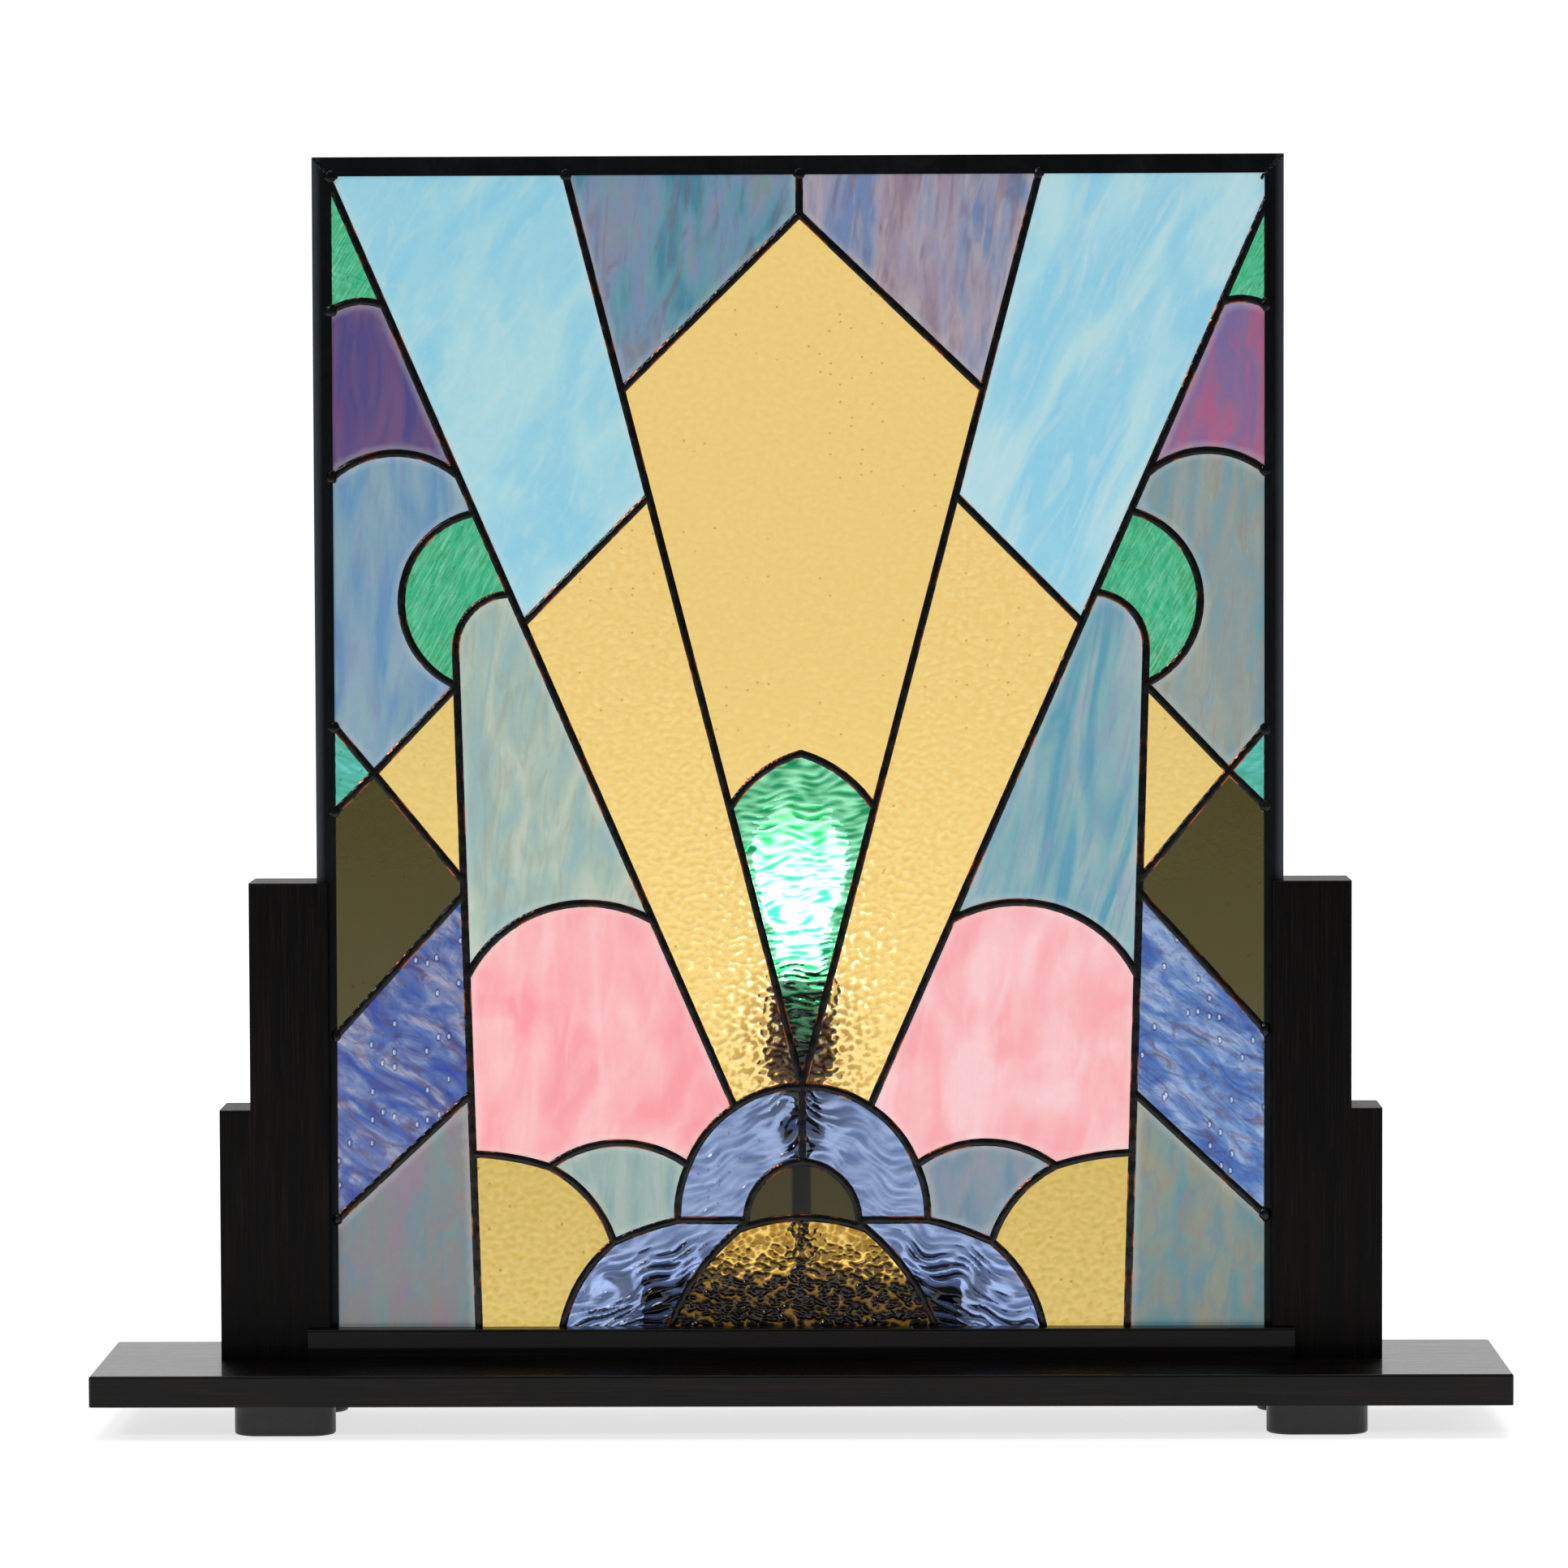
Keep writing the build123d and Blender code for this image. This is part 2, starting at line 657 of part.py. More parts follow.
with BuildPart() as bulb_envelope:
    for shrink, mode in ((0, Mode.ADD), (bulb_wall, Mode.SUBTRACT)):
        neck, widest = bulb_neck_radius - shrink, bulb_radius - shrink
        neck_top = bulb_cap_bottom + bulb_cap_height + bulb_wall
        flare = ((neck + widest) / 2 - bulb_wall, (neck_top + bulb_widest_z) / 2)
        shoulder = (widest * cos(radians(45)), bulb_widest_z + widest * sin(radians(45)))
        with BuildSketch(section):
            with BuildLine():
                Polyline((0, bulb_widest_z + widest), (0, bulb_neck_bottom), (neck, bulb_neck_bottom))
                Line((neck, bulb_neck_bottom), (neck, neck_top))
                Spline((neck, neck_top), flare, (widest, bulb_widest_z), tangents=((0, 1), (0, 1)))
                ThreePointArc((widest, bulb_widest_z), shoulder, (0, bulb_widest_z + widest))
            make_face()
        revolve(axis=lamp_line, mode=mode)
save(bulb_envelope, "bulb_envelope")

with BuildPart() as bulb_stem:
    turned(
        (0, bulb_cap_bottom),
        (stem_radius, bulb_cap_bottom),
        (stem_radius, bulb_cap_bottom + stem_rise / 2),
        (stem_radius / 2, bulb_cap_bottom + stem_rise),
        (0, bulb_cap_bottom + stem_rise),
    )
save(bulb_stem, "bulb_stem")

with BuildPart() as bulb_filament:
    with Locations((0, lamp_y, bulb_cap_bottom + stem_rise)):
        Torus(filament_radius, filament_wire_radius)
        Cylinder(filament_wire_radius, 2 * filament_radius, rotation=(0, 90, 0))
    with Locations((0, lamp_y, bulb_cap_bottom)):
        Cylinder(stem_radius, 2 * stem_rise, mode=Mode.SUBTRACT)
save(bulb_filament, "bulb_filament")
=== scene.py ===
"""The looks of the stained glass table lamp, on the frame that its CAD model sets.

Metres. The origin is on the floor under the middle of the board, the front faces -Y, and Z is up.
"""
import math
import random

import bmesh
import bpy
from mathutils import Matrix, Vector, kdtree, noise
from mathutils.geometry import delaunay_2d_cdt


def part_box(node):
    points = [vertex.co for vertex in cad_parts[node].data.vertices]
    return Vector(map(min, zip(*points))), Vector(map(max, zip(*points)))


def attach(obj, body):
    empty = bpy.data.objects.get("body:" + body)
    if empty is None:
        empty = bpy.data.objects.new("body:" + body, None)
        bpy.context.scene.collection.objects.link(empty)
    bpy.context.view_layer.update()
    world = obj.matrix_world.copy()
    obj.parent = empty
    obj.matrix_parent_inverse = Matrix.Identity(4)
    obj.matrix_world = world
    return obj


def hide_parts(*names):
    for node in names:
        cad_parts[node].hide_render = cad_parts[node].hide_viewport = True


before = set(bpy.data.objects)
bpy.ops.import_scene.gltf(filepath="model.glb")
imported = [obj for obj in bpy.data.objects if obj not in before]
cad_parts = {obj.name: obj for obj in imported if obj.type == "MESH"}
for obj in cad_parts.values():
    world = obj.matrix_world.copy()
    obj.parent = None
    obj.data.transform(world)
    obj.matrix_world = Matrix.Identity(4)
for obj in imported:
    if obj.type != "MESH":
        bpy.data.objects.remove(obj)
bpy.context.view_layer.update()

MM = 0.001
COARSE = 1.0

# The panel, read from the frame: its glass faces, its came's faces, and the sight line, which is
# the came's inner edge.
GLASS_FRONT, GLASS_BACK = (corner.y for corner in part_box("glass_centre_gold"))
CAME_FACE, CAME_BACK = (corner.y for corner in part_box("came_left"))
CAME_OUTER_X, SIGHT_X = (-corner.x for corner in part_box("came_left"))
SIGHT_LOW_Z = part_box("came_bottom")[1].z
SIGHT_HIGH_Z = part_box("came_top")[0].z
SEAM_HALF = 1.9 * MM  # half the width of a soldered seam

# Spots on the glass, as (x, z), that the lamp's parts stand behind, and the height below which
# the block shows.
PIPE_SPOT = (0, 0.15)
SOCKET_SPOT = (0, 0.185)
BULB_SPOT = (0, 0.24)
BLOCK_SHOWS_FROM = 0.1


# ---------------------------------------------------------------- shader helpers


def srgb(red, green, blue):
    """A linear colour from the 0 to 255 values of a screen colour."""
    channels = (red / 255, green / 255, blue / 255)
    return tuple(c / 12.92 if c < 0.04 else ((c + 0.055) / 1.055) ** 2.4 for c in channels) + (1.0,)


class Finish:
    """A material with one Principled shader, and short calls for the nodes that feed it."""

    def __init__(self, name, **settings):
        self.material = bpy.data.materials.new(name)
        self.material.use_nodes = True
        self.tree = self.material.node_tree
        self.shader = self.tree.nodes["Principled BSDF"]
        for words, value in settings.items():
            self.shader.inputs[words.replace("_", " ")].default_value = value
        self.place = self.tree.nodes.new("ShaderNodeTexCoord").outputs["Object"]

    def node(self, kind, inputs=(), **properties):
        """A new node, with its sockets linked or set and its properties set."""
        made = self.tree.nodes.new(kind)
        for key, value in properties.items():
            setattr(made, key, value)
        for socket, value in dict(inputs).items():
            if isinstance(value, bpy.types.NodeSocket):
                self.tree.links.new(value, made.inputs[socket])
            else:
                made.inputs[socket].default_value = value
        return made

    def space(self, size, turn=0.0, shift=0.0):
        """Object space turned about Y, where one unit is size metres along each axis."""
        if not isinstance(size, tuple):
            size = (size, size, size)
        settings = {"Vector": self.place, "Rotation": (0, turn, 0), "Scale": size}
        settings["Location"] = (shift, 0, shift)
        return self.node("ShaderNodeMapping", settings, vector_type="TEXTURE").outputs[0]

    def noise(self, size, turn=0.0, shift=0.0, detail=3.0, rough=0.5, warp=0.0):
        """Noise from 0 to 1 with features of the given size."""
        settings = {"Vector": self.space(size, turn, shift), "Scale": 1.0, "Detail": detail}
        settings.update({"Roughness": rough, "Distortion": warp})
        return self.node("ShaderNodeTexNoise", settings).outputs[0]

    def cells(self, size, output="Distance"):
        """Cells on the panel's plane, read from X and Z."""
        split = self.node("ShaderNodeSeparateXYZ", {0: self.space(size)})
        flat = self.node("ShaderNodeCombineXYZ", {0: split.outputs[0], 1: split.outputs[2]})
        settings = {"Vector": flat.outputs[0], "Scale": 1.0}
        return self.node("ShaderNodeTexVoronoi", settings, voronoi_dimensions="2D").outputs[output]

    def ramp(self, value, *stops):
        """Colours or numbers along a value: each stop is (place, colour or number)."""
        made = self.node("ShaderNodeValToRGB", {"Fac": value})
        band = made.color_ramp
        for index, (place, colour) in enumerate(stops):
            spot = band.elements[index] if index < 2 else band.elements.new(place)
            spot.position = place
            spot.color = colour if isinstance(colour, tuple) else (colour, colour, colour, 1)
        return made.outputs["Color"]

    def mix(self, factor, first, second, blend="MIX"):
        """Two colours mixed: 6 and 7 are the node's colour inputs, and 2 is its colour output."""
        inputs = {0: factor, 6: first, 7: second}
        return self.node("ShaderNodeMix", inputs, data_type="RGBA", blend_type=blend).outputs[2]

    def math(self, operation, first, second=0.0, third=0.0):
        inputs = {0: first, 1: second, 2: third}
        return self.node("ShaderNodeMath", inputs, operation=operation).outputs[0]

    def stored(self, name):
        """A value kept on the mesh's points."""
        return self.node("ShaderNodeAttribute", attribute_name=name).outputs["Fac"]

    def side(self):
        """0 on the object's left half and 1 on its right half."""
        across = self.node("ShaderNodeSeparateXYZ", {0: self.place}).outputs[0]
        return self.math("GREATER_THAN", across, 0.0)

    def feed(self, **sockets):
        """Links patterns to the shader's sockets, which are named with underscores."""
        for words, value in sockets.items():
            self.tree.links.new(value, self.shader.inputs[words.replace("_", " ")])

    def bump(self, height, distance):
        """Fine relief, distance metres deep."""
        settings = {"Height": height, "Distance": distance, "Strength": 1.0}
        self.feed(Normal=self.node("ShaderNodeBump", settings).outputs[0])


# ---------------------------------------------------------------- glass materials


def opal(name, tones, size, turn, shift, wisps, right=None, glow=0.4):
    """Opalescent sheet: tones poured together in streaks, with fine wisps in them. It glows with
    painted light.

    size, turn and shift place the streaks, and a wisp is its tone, amount and size. right holds the
    tones of the right half, where they differ.
    """
    finish = Finish(name, Roughness=0.1, IOR=1.5, Emission_Strength=glow)
    broad = finish.noise(size, turn, shift, detail=3, rough=0.42, warp=1.2)
    spots = [0.36 + 0.28 * index / (len(tones) - 1) for index in range(len(tones))]
    colour = finish.ramp(broad, *zip(spots, tones))
    if right:
        colour = finish.mix(finish.side(), colour, finish.ramp(broad, *zip(spots, right)))
    for index, (tone, amount, wisp_size) in enumerate(wisps):
        fine = finish.noise(wisp_size, turn, shift + 0.37 + index, detail=3, rough=0.45, warp=1.8)
        where = finish.ramp(fine, (0.5, 0.0), (0.7, amount))
        colour = finish.mix(where, colour, tone)
    cloud = finish.noise(0.004, shift=shift + 5, detail=4, rough=0.7)
    colour = finish.mix(1.0, colour, finish.ramp(cloud, (0.3, 0.95), (0.7, 1.0)), "MULTIPLY")
    # Painted light: paler towards the seams, where light creeps round them.
    pale = finish.mix(0.16, colour, srgb(244, 244, 238))
    colour = finish.mix(finish.ramp(finish.stored("edge"), (0.2, 0.0), (0.68, 1.0)), colour, pale)
    # Painted light: the sheet glows in its own colour, standing in for light coming through it from
    # behind.
    finish.feed(Base_Color=colour, Emission_Color=colour)
    finish.bump(finish.noise(0.006, turn, shift + 9, detail=2), 0.00006)
    return finish.material


def cathedral(name, deep, pale, seeds=1.0, grain=(), streaks=(), rough=0.015, murk=None, painted_glint=None):
    """Clear coloured sheet: paler where it is thin, with seeds (small bubbles ringed darker).

    grain is a list of fine lines, each a tone, amount, size and turn. streaks is a list of broad ones,
    each a tone, amount, size, turn and the noise level that they start from. The argument after rough
    gives painted shade: the tone, and the two thinness limits, of dark lines painted where the lamp's
    dark parts stand behind the glass. The last gives painted glints: the tone, strength and two
    thinness limits of emission painted where the bulb's light and the block's gloss would be thrown
    about.
    """
    finish = Finish(name, Roughness=rough, IOR=1.5, Transmission_Weight=1.0)
    thin = finish.stored("thin")
    colour = finish.mix(thin, deep, pale)
    for index, (tone, amount, size, turn, low) in enumerate(streaks):
        band = finish.noise(size, turn, 1.7 + index, detail=5, rough=0.6, warp=1.8)
        colour = finish.mix(finish.ramp(band, (low, 0.0), (low + 0.2, amount)), colour, tone)
    height = finish.noise(0.0026, detail=3)
    if seeds:
        # A seed sits in some of the cells, more of them where a broad cloud is dense.
        gap = 0.0052
        away = finish.cells(gap)
        pick = finish.node("ShaderNodeSeparateColor", {0: finish.cells(gap, output="Color")})
        cloud = finish.noise(0.05, shift=3.1, detail=2)
        limit = finish.math("MULTIPLY_ADD", cloud, 1.1 * seeds, -0.5 * seeds)
        chosen = finish.math("LESS_THAN", pick.outputs[0], limit)
        ring = finish.ramp(away, (0.04, 0.25), (0.085, 1.0), (0.12, 0.0))
        ring = finish.math("MULTIPLY", ring, chosen)
        dark = finish.mix(1.0, colour, srgb(176, 146, 108), "MULTIPLY")
        colour = finish.mix(ring, colour, dark)
        height = finish.math("MULTIPLY_ADD", ring, 3.0, height)
    for tone, amount, size, turn in grain:
        lines = finish.noise(size, turn, 7.3, detail=4, rough=0.6, warp=0.8)
        colour = finish.mix(finish.ramp(lines, (0.45, 0.0), (0.75, amount)), colour, tone)
    # Painted shade: a dark tone on the thick parts of the relief, where the lamp's dark parts stand
    # behind.
    if murk:
        tone, full, none = murk
        thick = finish.ramp(thin, (full, 1.0), (none, 0.0))
        colour = finish.mix(finish.math("MULTIPLY", finish.stored("murk"), thick), colour, tone)
    # Painted glints: emission on the thin parts of the relief, standing in for the bulb's light and
    # the block's gloss.
    if painted_glint:
        tone, strength, none, full = painted_glint
        bright = finish.ramp(thin, (none, 0.0), (full, strength))
        sparks = finish.math("MULTIPLY", finish.stored("lit"), bright)
        finish.feed(Emission_Color=finish.mix(thin, colour, tone), Emission_Strength=sparks)
    finish.feed(Base_Color=colour)
    finish.bump(height, 0.00002)
    return finish.material


def bubbled(name, left, right, wisps):
    """Streaky sheet full of long bubbles, half clear. left and right are its tones on each half."""
    finish = Finish(name, Roughness=0.02, IOR=1.5, Transmission_Weight=0.86)
    across = math.radians(38)
    broad = finish.noise((0.03, 0.03, 0.014), across, 2.0, detail=5, rough=0.6, warp=1.4)
    tones = finish.mix(finish.side(), finish.ramp(broad, *left), finish.ramp(broad, *right))
    for tone, amount, size, turn in wisps:
        fine = finish.noise(size, turn, 4.1, detail=6, rough=0.65, warp=2.6)
        tones = finish.mix(finish.ramp(fine, (0.5, 0.0), (0.66, amount)), tones, tone)
    gap = (0.0055, 0.0055, 0.009)
    away = finish.cells(gap)
    pick = finish.node("ShaderNodeSeparateColor", {0: finish.cells(gap, output="Color")})
    chosen = finish.math("LESS_THAN", pick.outputs[0], 0.2)
    rim = finish.math("MULTIPLY", finish.ramp(away, (0.12, 0.0), (0.2, 1.0), (0.27, 0.0)), chosen)
    core = finish.math("MULTIPLY", finish.ramp(away, (0.05, 1.0), (0.15, 0.0)), chosen)
    tones = finish.mix(finish.math("MULTIPLY", rim, 0.75), tones, srgb(30, 38, 66))
    tones = finish.mix(finish.math("MULTIPLY", core, 0.6), tones, srgb(214, 226, 244))
    # Painted light: the tones glow faintly, standing in for light coming through the sheet from
    # behind.
    finish.feed(Base_Color=tones, Emission_Color=tones)
    finish.shader.inputs["Emission Strength"].default_value = 0.1
    finish.bump(finish.math("MULTIPLY_ADD", core, 4.0, broad), 0.0001)
    return finish.material


# ---------------------------------------------------------------- wood, metal and the rest


def ebonised(name, along, gloss):
    """Black-stained hardwood: fine open pores along the grain, brown where the stain is thin."""
    fine = {"X": (0.045, 0.0009, 0.0009), "Z": (0.0009, 0.0009, 0.045)}[along]
    broad = {"X": (0.16, 0.006, 0.006), "Z": (0.006, 0.006, 0.16)}[along]
    finish = Finish(name, IOR=1.2, Coat_Weight=gloss, Coat_Roughness=0.06, Coat_IOR=1.22)
    pores = finish.noise(fine, shift=0.4, detail=5, rough=0.65, warp=0.25)
    bands = finish.noise(broad, shift=2.2, detail=4, rough=0.6, warp=0.5)
    stain = finish.ramp(bands, (0.35, srgb(4, 4, 4)), (0.55, srgb(9, 7, 6)), (0.75, srgb(30, 15, 11)))
    colour = finish.mix(finish.ramp(pores, (0.5, 0.0), (0.78, 0.6)), stain, srgb(44, 34, 30))
    finish.feed(Base_Color=colour, Roughness=finish.ramp(pores, (0.3, 0.34), (0.7, 0.6)))
    finish.bump(pores, 0.00012)
    return finish.material


def painted(name, tone, worn, rough):
    """Black paint on board or rubber: faint dust, small pits and an uneven sheen."""
    finish = Finish(name, IOR=1.5)
    dust = finish.noise(0.012, detail=6, rough=0.7)
    finish.feed(Base_Color=finish.ramp(dust, (0.4, tone), (0.75, worn)))
    finish.feed(Roughness=finish.ramp(dust, (0.3, rough - 0.1), (0.7, rough + 0.1)))
    finish.bump(finish.noise(0.0011, detail=4, rough=0.6), 0.00008)
    return finish.material


def metal(name, tone, stained, rough, size=0.004):
    """Worked metal: clouds of tarnish over fine drawn lines."""
    finish = Finish(name, Metallic=1.0)
    cloud = finish.noise(size, detail=5, rough=0.65, warp=0.6)
    lines = finish.noise((0.0006, 0.0006, 0.012), shift=1.3, detail=3)
    finish.feed(Base_Color=finish.ramp(cloud, (0.35, tone), (0.7, stained)))
    finish.feed(Roughness=finish.ramp(lines, (0.3, rough - 0.06), (0.7, rough + 0.1)))
    finish.bump(finish.math("ADD", cloud, lines), 0.00003)
    return finish.material


def dark_came():
    """Zinc came under black patina, with a painted highlight: lighter grey along its outer edge."""
    finish = Finish("dark_came", Metallic=0.75)
    cloud = finish.noise((0.02, 0.02, 0.05), detail=6, rough=0.65, warp=0.8)
    spots = finish.noise(0.0021, shift=2.0, detail=5, rough=0.7)
    dark, middling, light = srgb(12, 14, 16), srgb(20, 23, 26), srgb(36, 40, 44)
    tone = finish.ramp(cloud, (0.3, dark), (0.55, middling), (0.75, light))
    colour = finish.mix(finish.ramp(spots, (0.6, 0.0), (0.8, 0.5)), tone, srgb(24, 24, 26))
    # Painted highlight: grey along the outer edge, standing in for the light its rounded edge catches.
    split = finish.node("ShaderNodeSeparateXYZ", {0: finish.place})
    outward = finish.math("ABSOLUTE", split.outputs[0])
    limits = {1: CAME_OUTER_X - 4.5 * MM, 2: CAME_OUTER_X, 3: 0.0, 4: 0.5}
    painted_rim_highlight = finish.node("ShaderNodeMapRange", {0: outward, **limits})
    colour = finish.mix(painted_rim_highlight.outputs[0], colour, srgb(128, 138, 148))
    finish.feed(Base_Color=colour, Roughness=finish.ramp(spots, (0.3, 0.3), (0.7, 0.46)))
    finish.bump(finish.math("MULTIPLY_ADD", spots, 0.4, cloud), 0.00012)
    return finish.material


def black_solder():
    """Solder under black patina, glossy, with copper foil showing at the edge here and there."""
    finish = Finish("black_solder", Metallic=0.55)
    cloud = finish.noise(0.006, detail=5, rough=0.65)
    tone = finish.ramp(cloud, (0.35, srgb(14, 14, 15)), (0.7, srgb(34, 34, 36)))
    bare = finish.ramp(finish.noise(0.016, shift=4.0, detail=3), (0.52, 0.0), (0.6, 1.0))
    copper = finish.math("MULTIPLY", bare, finish.ramp(finish.stored("rim"), (0.62, 0.0), (0.86, 1.0)))
    finish.feed(Base_Color=finish.mix(copper, tone, srgb(204, 98, 34)))
    finish.feed(Roughness=finish.ramp(cloud, (0.3, 0.1), (0.7, 0.26)))
    finish.bump(finish.noise(0.0016, shift=1.0, detail=4), 0.00008)
    return finish.material


def lit_bulb():
    """Frosted white envelope, lit from inside: brightest across its middle."""
    finish = Finish("bulb_glass", Roughness=0.35, IOR=1.5)
    frost = finish.noise(0.003, detail=4)
    warm = finish.ramp(frost, (0.3, srgb(255, 246, 226)), (0.7, srgb(255, 250, 238)))
    low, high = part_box("bulb_filament")
    brightest = (low + high) / 2 + Vector((0, 0, 0.008))
    ends = {0: finish.place, 1: brightest}
    distance = finish.node("ShaderNodeVectorMath", ends, operation="DISTANCE")
    limits = {1: 0.014, 2: 0.052, 3: 12.0, 4: 0.1}
    strength = finish.node("ShaderNodeMapRange", {0: distance.outputs["Value"], **limits})
    finish.feed(Base_Color=warm, Emission_Color=warm, Emission_Strength=strength.outputs[0])
    finish.bump(frost, 0.00004)
    return finish.material


def clear_glass():
    """The bulb's stem: clear, with faint drawn cords in it."""
    finish = Finish("clear_glass", Roughness=0.03, IOR=1.5, Transmission_Weight=1.0)
    cord = finish.noise((0.004, 0.004, 0.02), detail=2)
    finish.feed(Base_Color=finish.ramp(cord, (0.3, srgb(238, 244, 242)), (0.7, srgb(250, 252, 251))))
    finish.bump(cord, 0.00005)
    return finish.material


def moulded(name, tone, worn):
    """Moulded insulator: mottled, with a soft sheen."""
    finish = Finish(name, IOR=1.5)
    speck = finish.noise(0.0018, detail=5, rough=0.7)
    finish.feed(Base_Color=finish.ramp(speck, (0.35, tone), (0.75, worn)))
    finish.feed(Roughness=finish.ramp(speck, (0.3, 0.34), (0.7, 0.5)))
    finish.bump(speck, 0.00004)
    return finish.material


wood_up = ebonised("ebonised_wood_up", "Z", 0.06)
wood_along = ebonised("ebonised_wood_along", "X", 0.7)
black_paint = painted("cover_board", srgb(12, 12, 12), srgb(30, 28, 26), 0.5)
foot_black = painted("black_foot", srgb(13, 13, 13), srgb(34, 33, 32), 0.42)
screw_steel = metal("screw_steel", srgb(150, 150, 150), srgb(104, 102, 98), 0.3, size=0.002)
black_steel = metal("blackened_steel", srgb(46, 44, 42), srgb(26, 25, 24), 0.36)
socket_bronze = metal("socket_metal", srgb(96, 78, 50), srgb(58, 44, 28), 0.32)
brass = metal("brass", srgb(206, 168, 92), srgb(158, 120, 60), 0.26)
cap_metal = metal("bulb_cap_metal", srgb(196, 196, 192), srgb(150, 148, 142), 0.26)
filament = metal("filament", srgb(140, 136, 130), srgb(96, 92, 88), 0.3, size=0.001)
insulator = moulded("insulator", srgb(24, 20, 18), srgb(46, 38, 32))
bulb_insulator = moulded("bulb_insulator", srgb(18, 18, 20), srgb(44, 44, 48))

finishes = {
    "post_left": wood_up,
    "post_right": wood_up,
    "base_board": wood_along,
    "bottom_rail": wood_along,
    "lamp_block": wood_along,
    "under_cover": black_paint,
    "foot_front_left": foot_black,
    "foot_front_right": foot_black,
    "foot_rear_left": foot_black,
    "foot_rear_right": foot_black,
    "post_screws": screw_steel,
    "foot_screws": screw_steel,
    "cover_screws": screw_steel,
    "lamp_pipe": black_steel,
    "pipe_washer": black_steel,
    "lower_nut": black_steel,
    "block_nut": black_steel,
    "socket_cap": socket_bronze,
    "socket_shell": socket_bronze,
    "socket_core": insulator,
    "switch_knob": insulator,
    "screw_sleeve": brass,
    "centre_contact": brass,
    "bulb_cap": cap_metal,
    "bulb_insulator": bulb_insulator,
    "bulb_envelope": lit_bulb(),
    "bulb_stem": clear_glass(),
    "bulb_filament": filament,
}
came_finish = dark_came()
for side in ("bottom", "right", "top", "left"):
    finishes["came_" + side] = came_finish
for node, material in finishes.items():
    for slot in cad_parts[node].material_slots:
        slot.material = material


# ---------------------------------------------------------------- meshes over outlines


FLAT = 1e-6  # how near a point has to be to the front face to lie on it
GRID_ROW = 0.87  # height of a triangle grid's row, as a share of its step
JITTER = 0.16  # how far a grid point strays, as a share of the step
RIM_CLEARANCE = 0.55  # how near a grid point comes to the rim, as a share of the step


def face_loops(node):
    """The outlines of a node's flat front face, as closed rings of (x, z) points."""
    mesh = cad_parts[node].data
    front = min(vertex.co.y for vertex in mesh.vertices)
    on_front = [abs(vertex.co.y - front) < FLAT for vertex in mesh.vertices]
    half_edges = set()
    for face in mesh.polygons:
        corners = list(face.vertices)
        if all(on_front[corner] for corner in corners):
            half_edges.update(zip(corners, corners[1:] + corners[:1]))
    follow = {start: end for start, end in half_edges if (end, start) not in half_edges}
    loops = []
    while follow:
        start, here = follow.popitem()
        ring = [start]
        while here != ring[0]:
            ring.append(here)
            here = follow.pop(here)
        loops.append([Vector((mesh.vertices[i].co.x, mesh.vertices[i].co.z)) for i in ring])
    return loops


def divided(ring, step):
    """The ring's points, with each longer edge cut into runs no longer than step."""
    points = []
    for start, end in zip(ring, ring[1:] + ring[:1]):
        runs = max(1, math.ceil((end - start).length / step))
        points += [start.lerp(end, run / runs) for run in range(runs)]
    return points


def tree_of(points):
    """A search tree for the nearest of some flat points."""
    tree = kdtree.KDTree(len(points))
    for index, point in enumerate(points):
        tree.insert((point.x, point.y, 0), index)
    tree.balance()
    return tree


def inner_points(rings, rim_points, step, seed):
    """Points inside the rings on a jittered triangle grid, clear of the rim."""
    rng = random.Random(seed)
    edges = [(a, b) for ring in rings for a, b in zip(ring, ring[1:] + ring[:1])]
    near = tree_of(rim_points)
    low = min(a.y for a, b in edges)
    rows = int((max(a.y for a, b in edges) - low) / (step * GRID_ROW))
    points = []
    for row in range(1, rows + 1):
        z = low + row * step * GRID_ROW
        crossed = [(a, b) for a, b in edges if (a.y > z) != (b.y > z)]
        cuts = sorted(a.x + (b.x - a.x) * (z - a.y) / (b.y - a.y) for a, b in crossed)
        for left, right in zip(cuts[::2], cuts[1::2]):
            for column in range(math.ceil(left / step), math.floor(right / step) + 1):
                x = (column + 0.5 * (row % 2)) * step
                stray = Vector((rng.uniform(-JITTER, JITTER), rng.uniform(-JITTER, JITTER)))
                spot = Vector((x, z)) + stray * step
                away = near.find((spot.x, spot.y, 0))[2]
                if left < spot.x < right and away > RIM_CLEARANCE * step:
                    points.append(spot)
    return points


def middle(points, face):
    """The middle of a face's corners."""
    return sum((points[corner] for corner in face), Vector((0, 0))) / len(face)


def inside(point, rings):
    """True where a line from the point to the left crosses the rings an odd number of times."""
    crossings = 0
    for ring in rings:
        for a, b in zip(ring, ring[1:] + ring[:1]):
            if (a.y > point.y) != (b.y > point.y):
                crossings += a.x + (b.x - a.x) * (point.y - a.y) / (b.y - a.y) < point.x
    return crossings % 2 == 1


def filled(rings, step, seed):
    """A flat triangle mesh inside the rings: its points, its triangles and its rim's edges."""
    points, edges = [], []
    for ring in rings:
        first = len(points)
        points += divided(ring, step)
        count = len(points) - first
        edges += [(first + i, first + (i + 1) % count) for i in range(count)]
    grid_from = len(points)
    points += inner_points(rings, points[:], step, seed)
    points, _, faces, sources, *_ = delaunay_2d_cdt(points, edges, [], 1, 1e-7, True)
    on_grid = [min(source) >= grid_from for source in sources]
    faces = [f for f in faces if any(on_grid[c] for c in f) or inside(middle(points, f), rings)]
    half_edges = {pair for face in faces for pair in zip(face, face[1:] + face[:1])}
    rim = [(a, b) for a, b in half_edges if (b, a) not in half_edges]
    return points, faces, rim


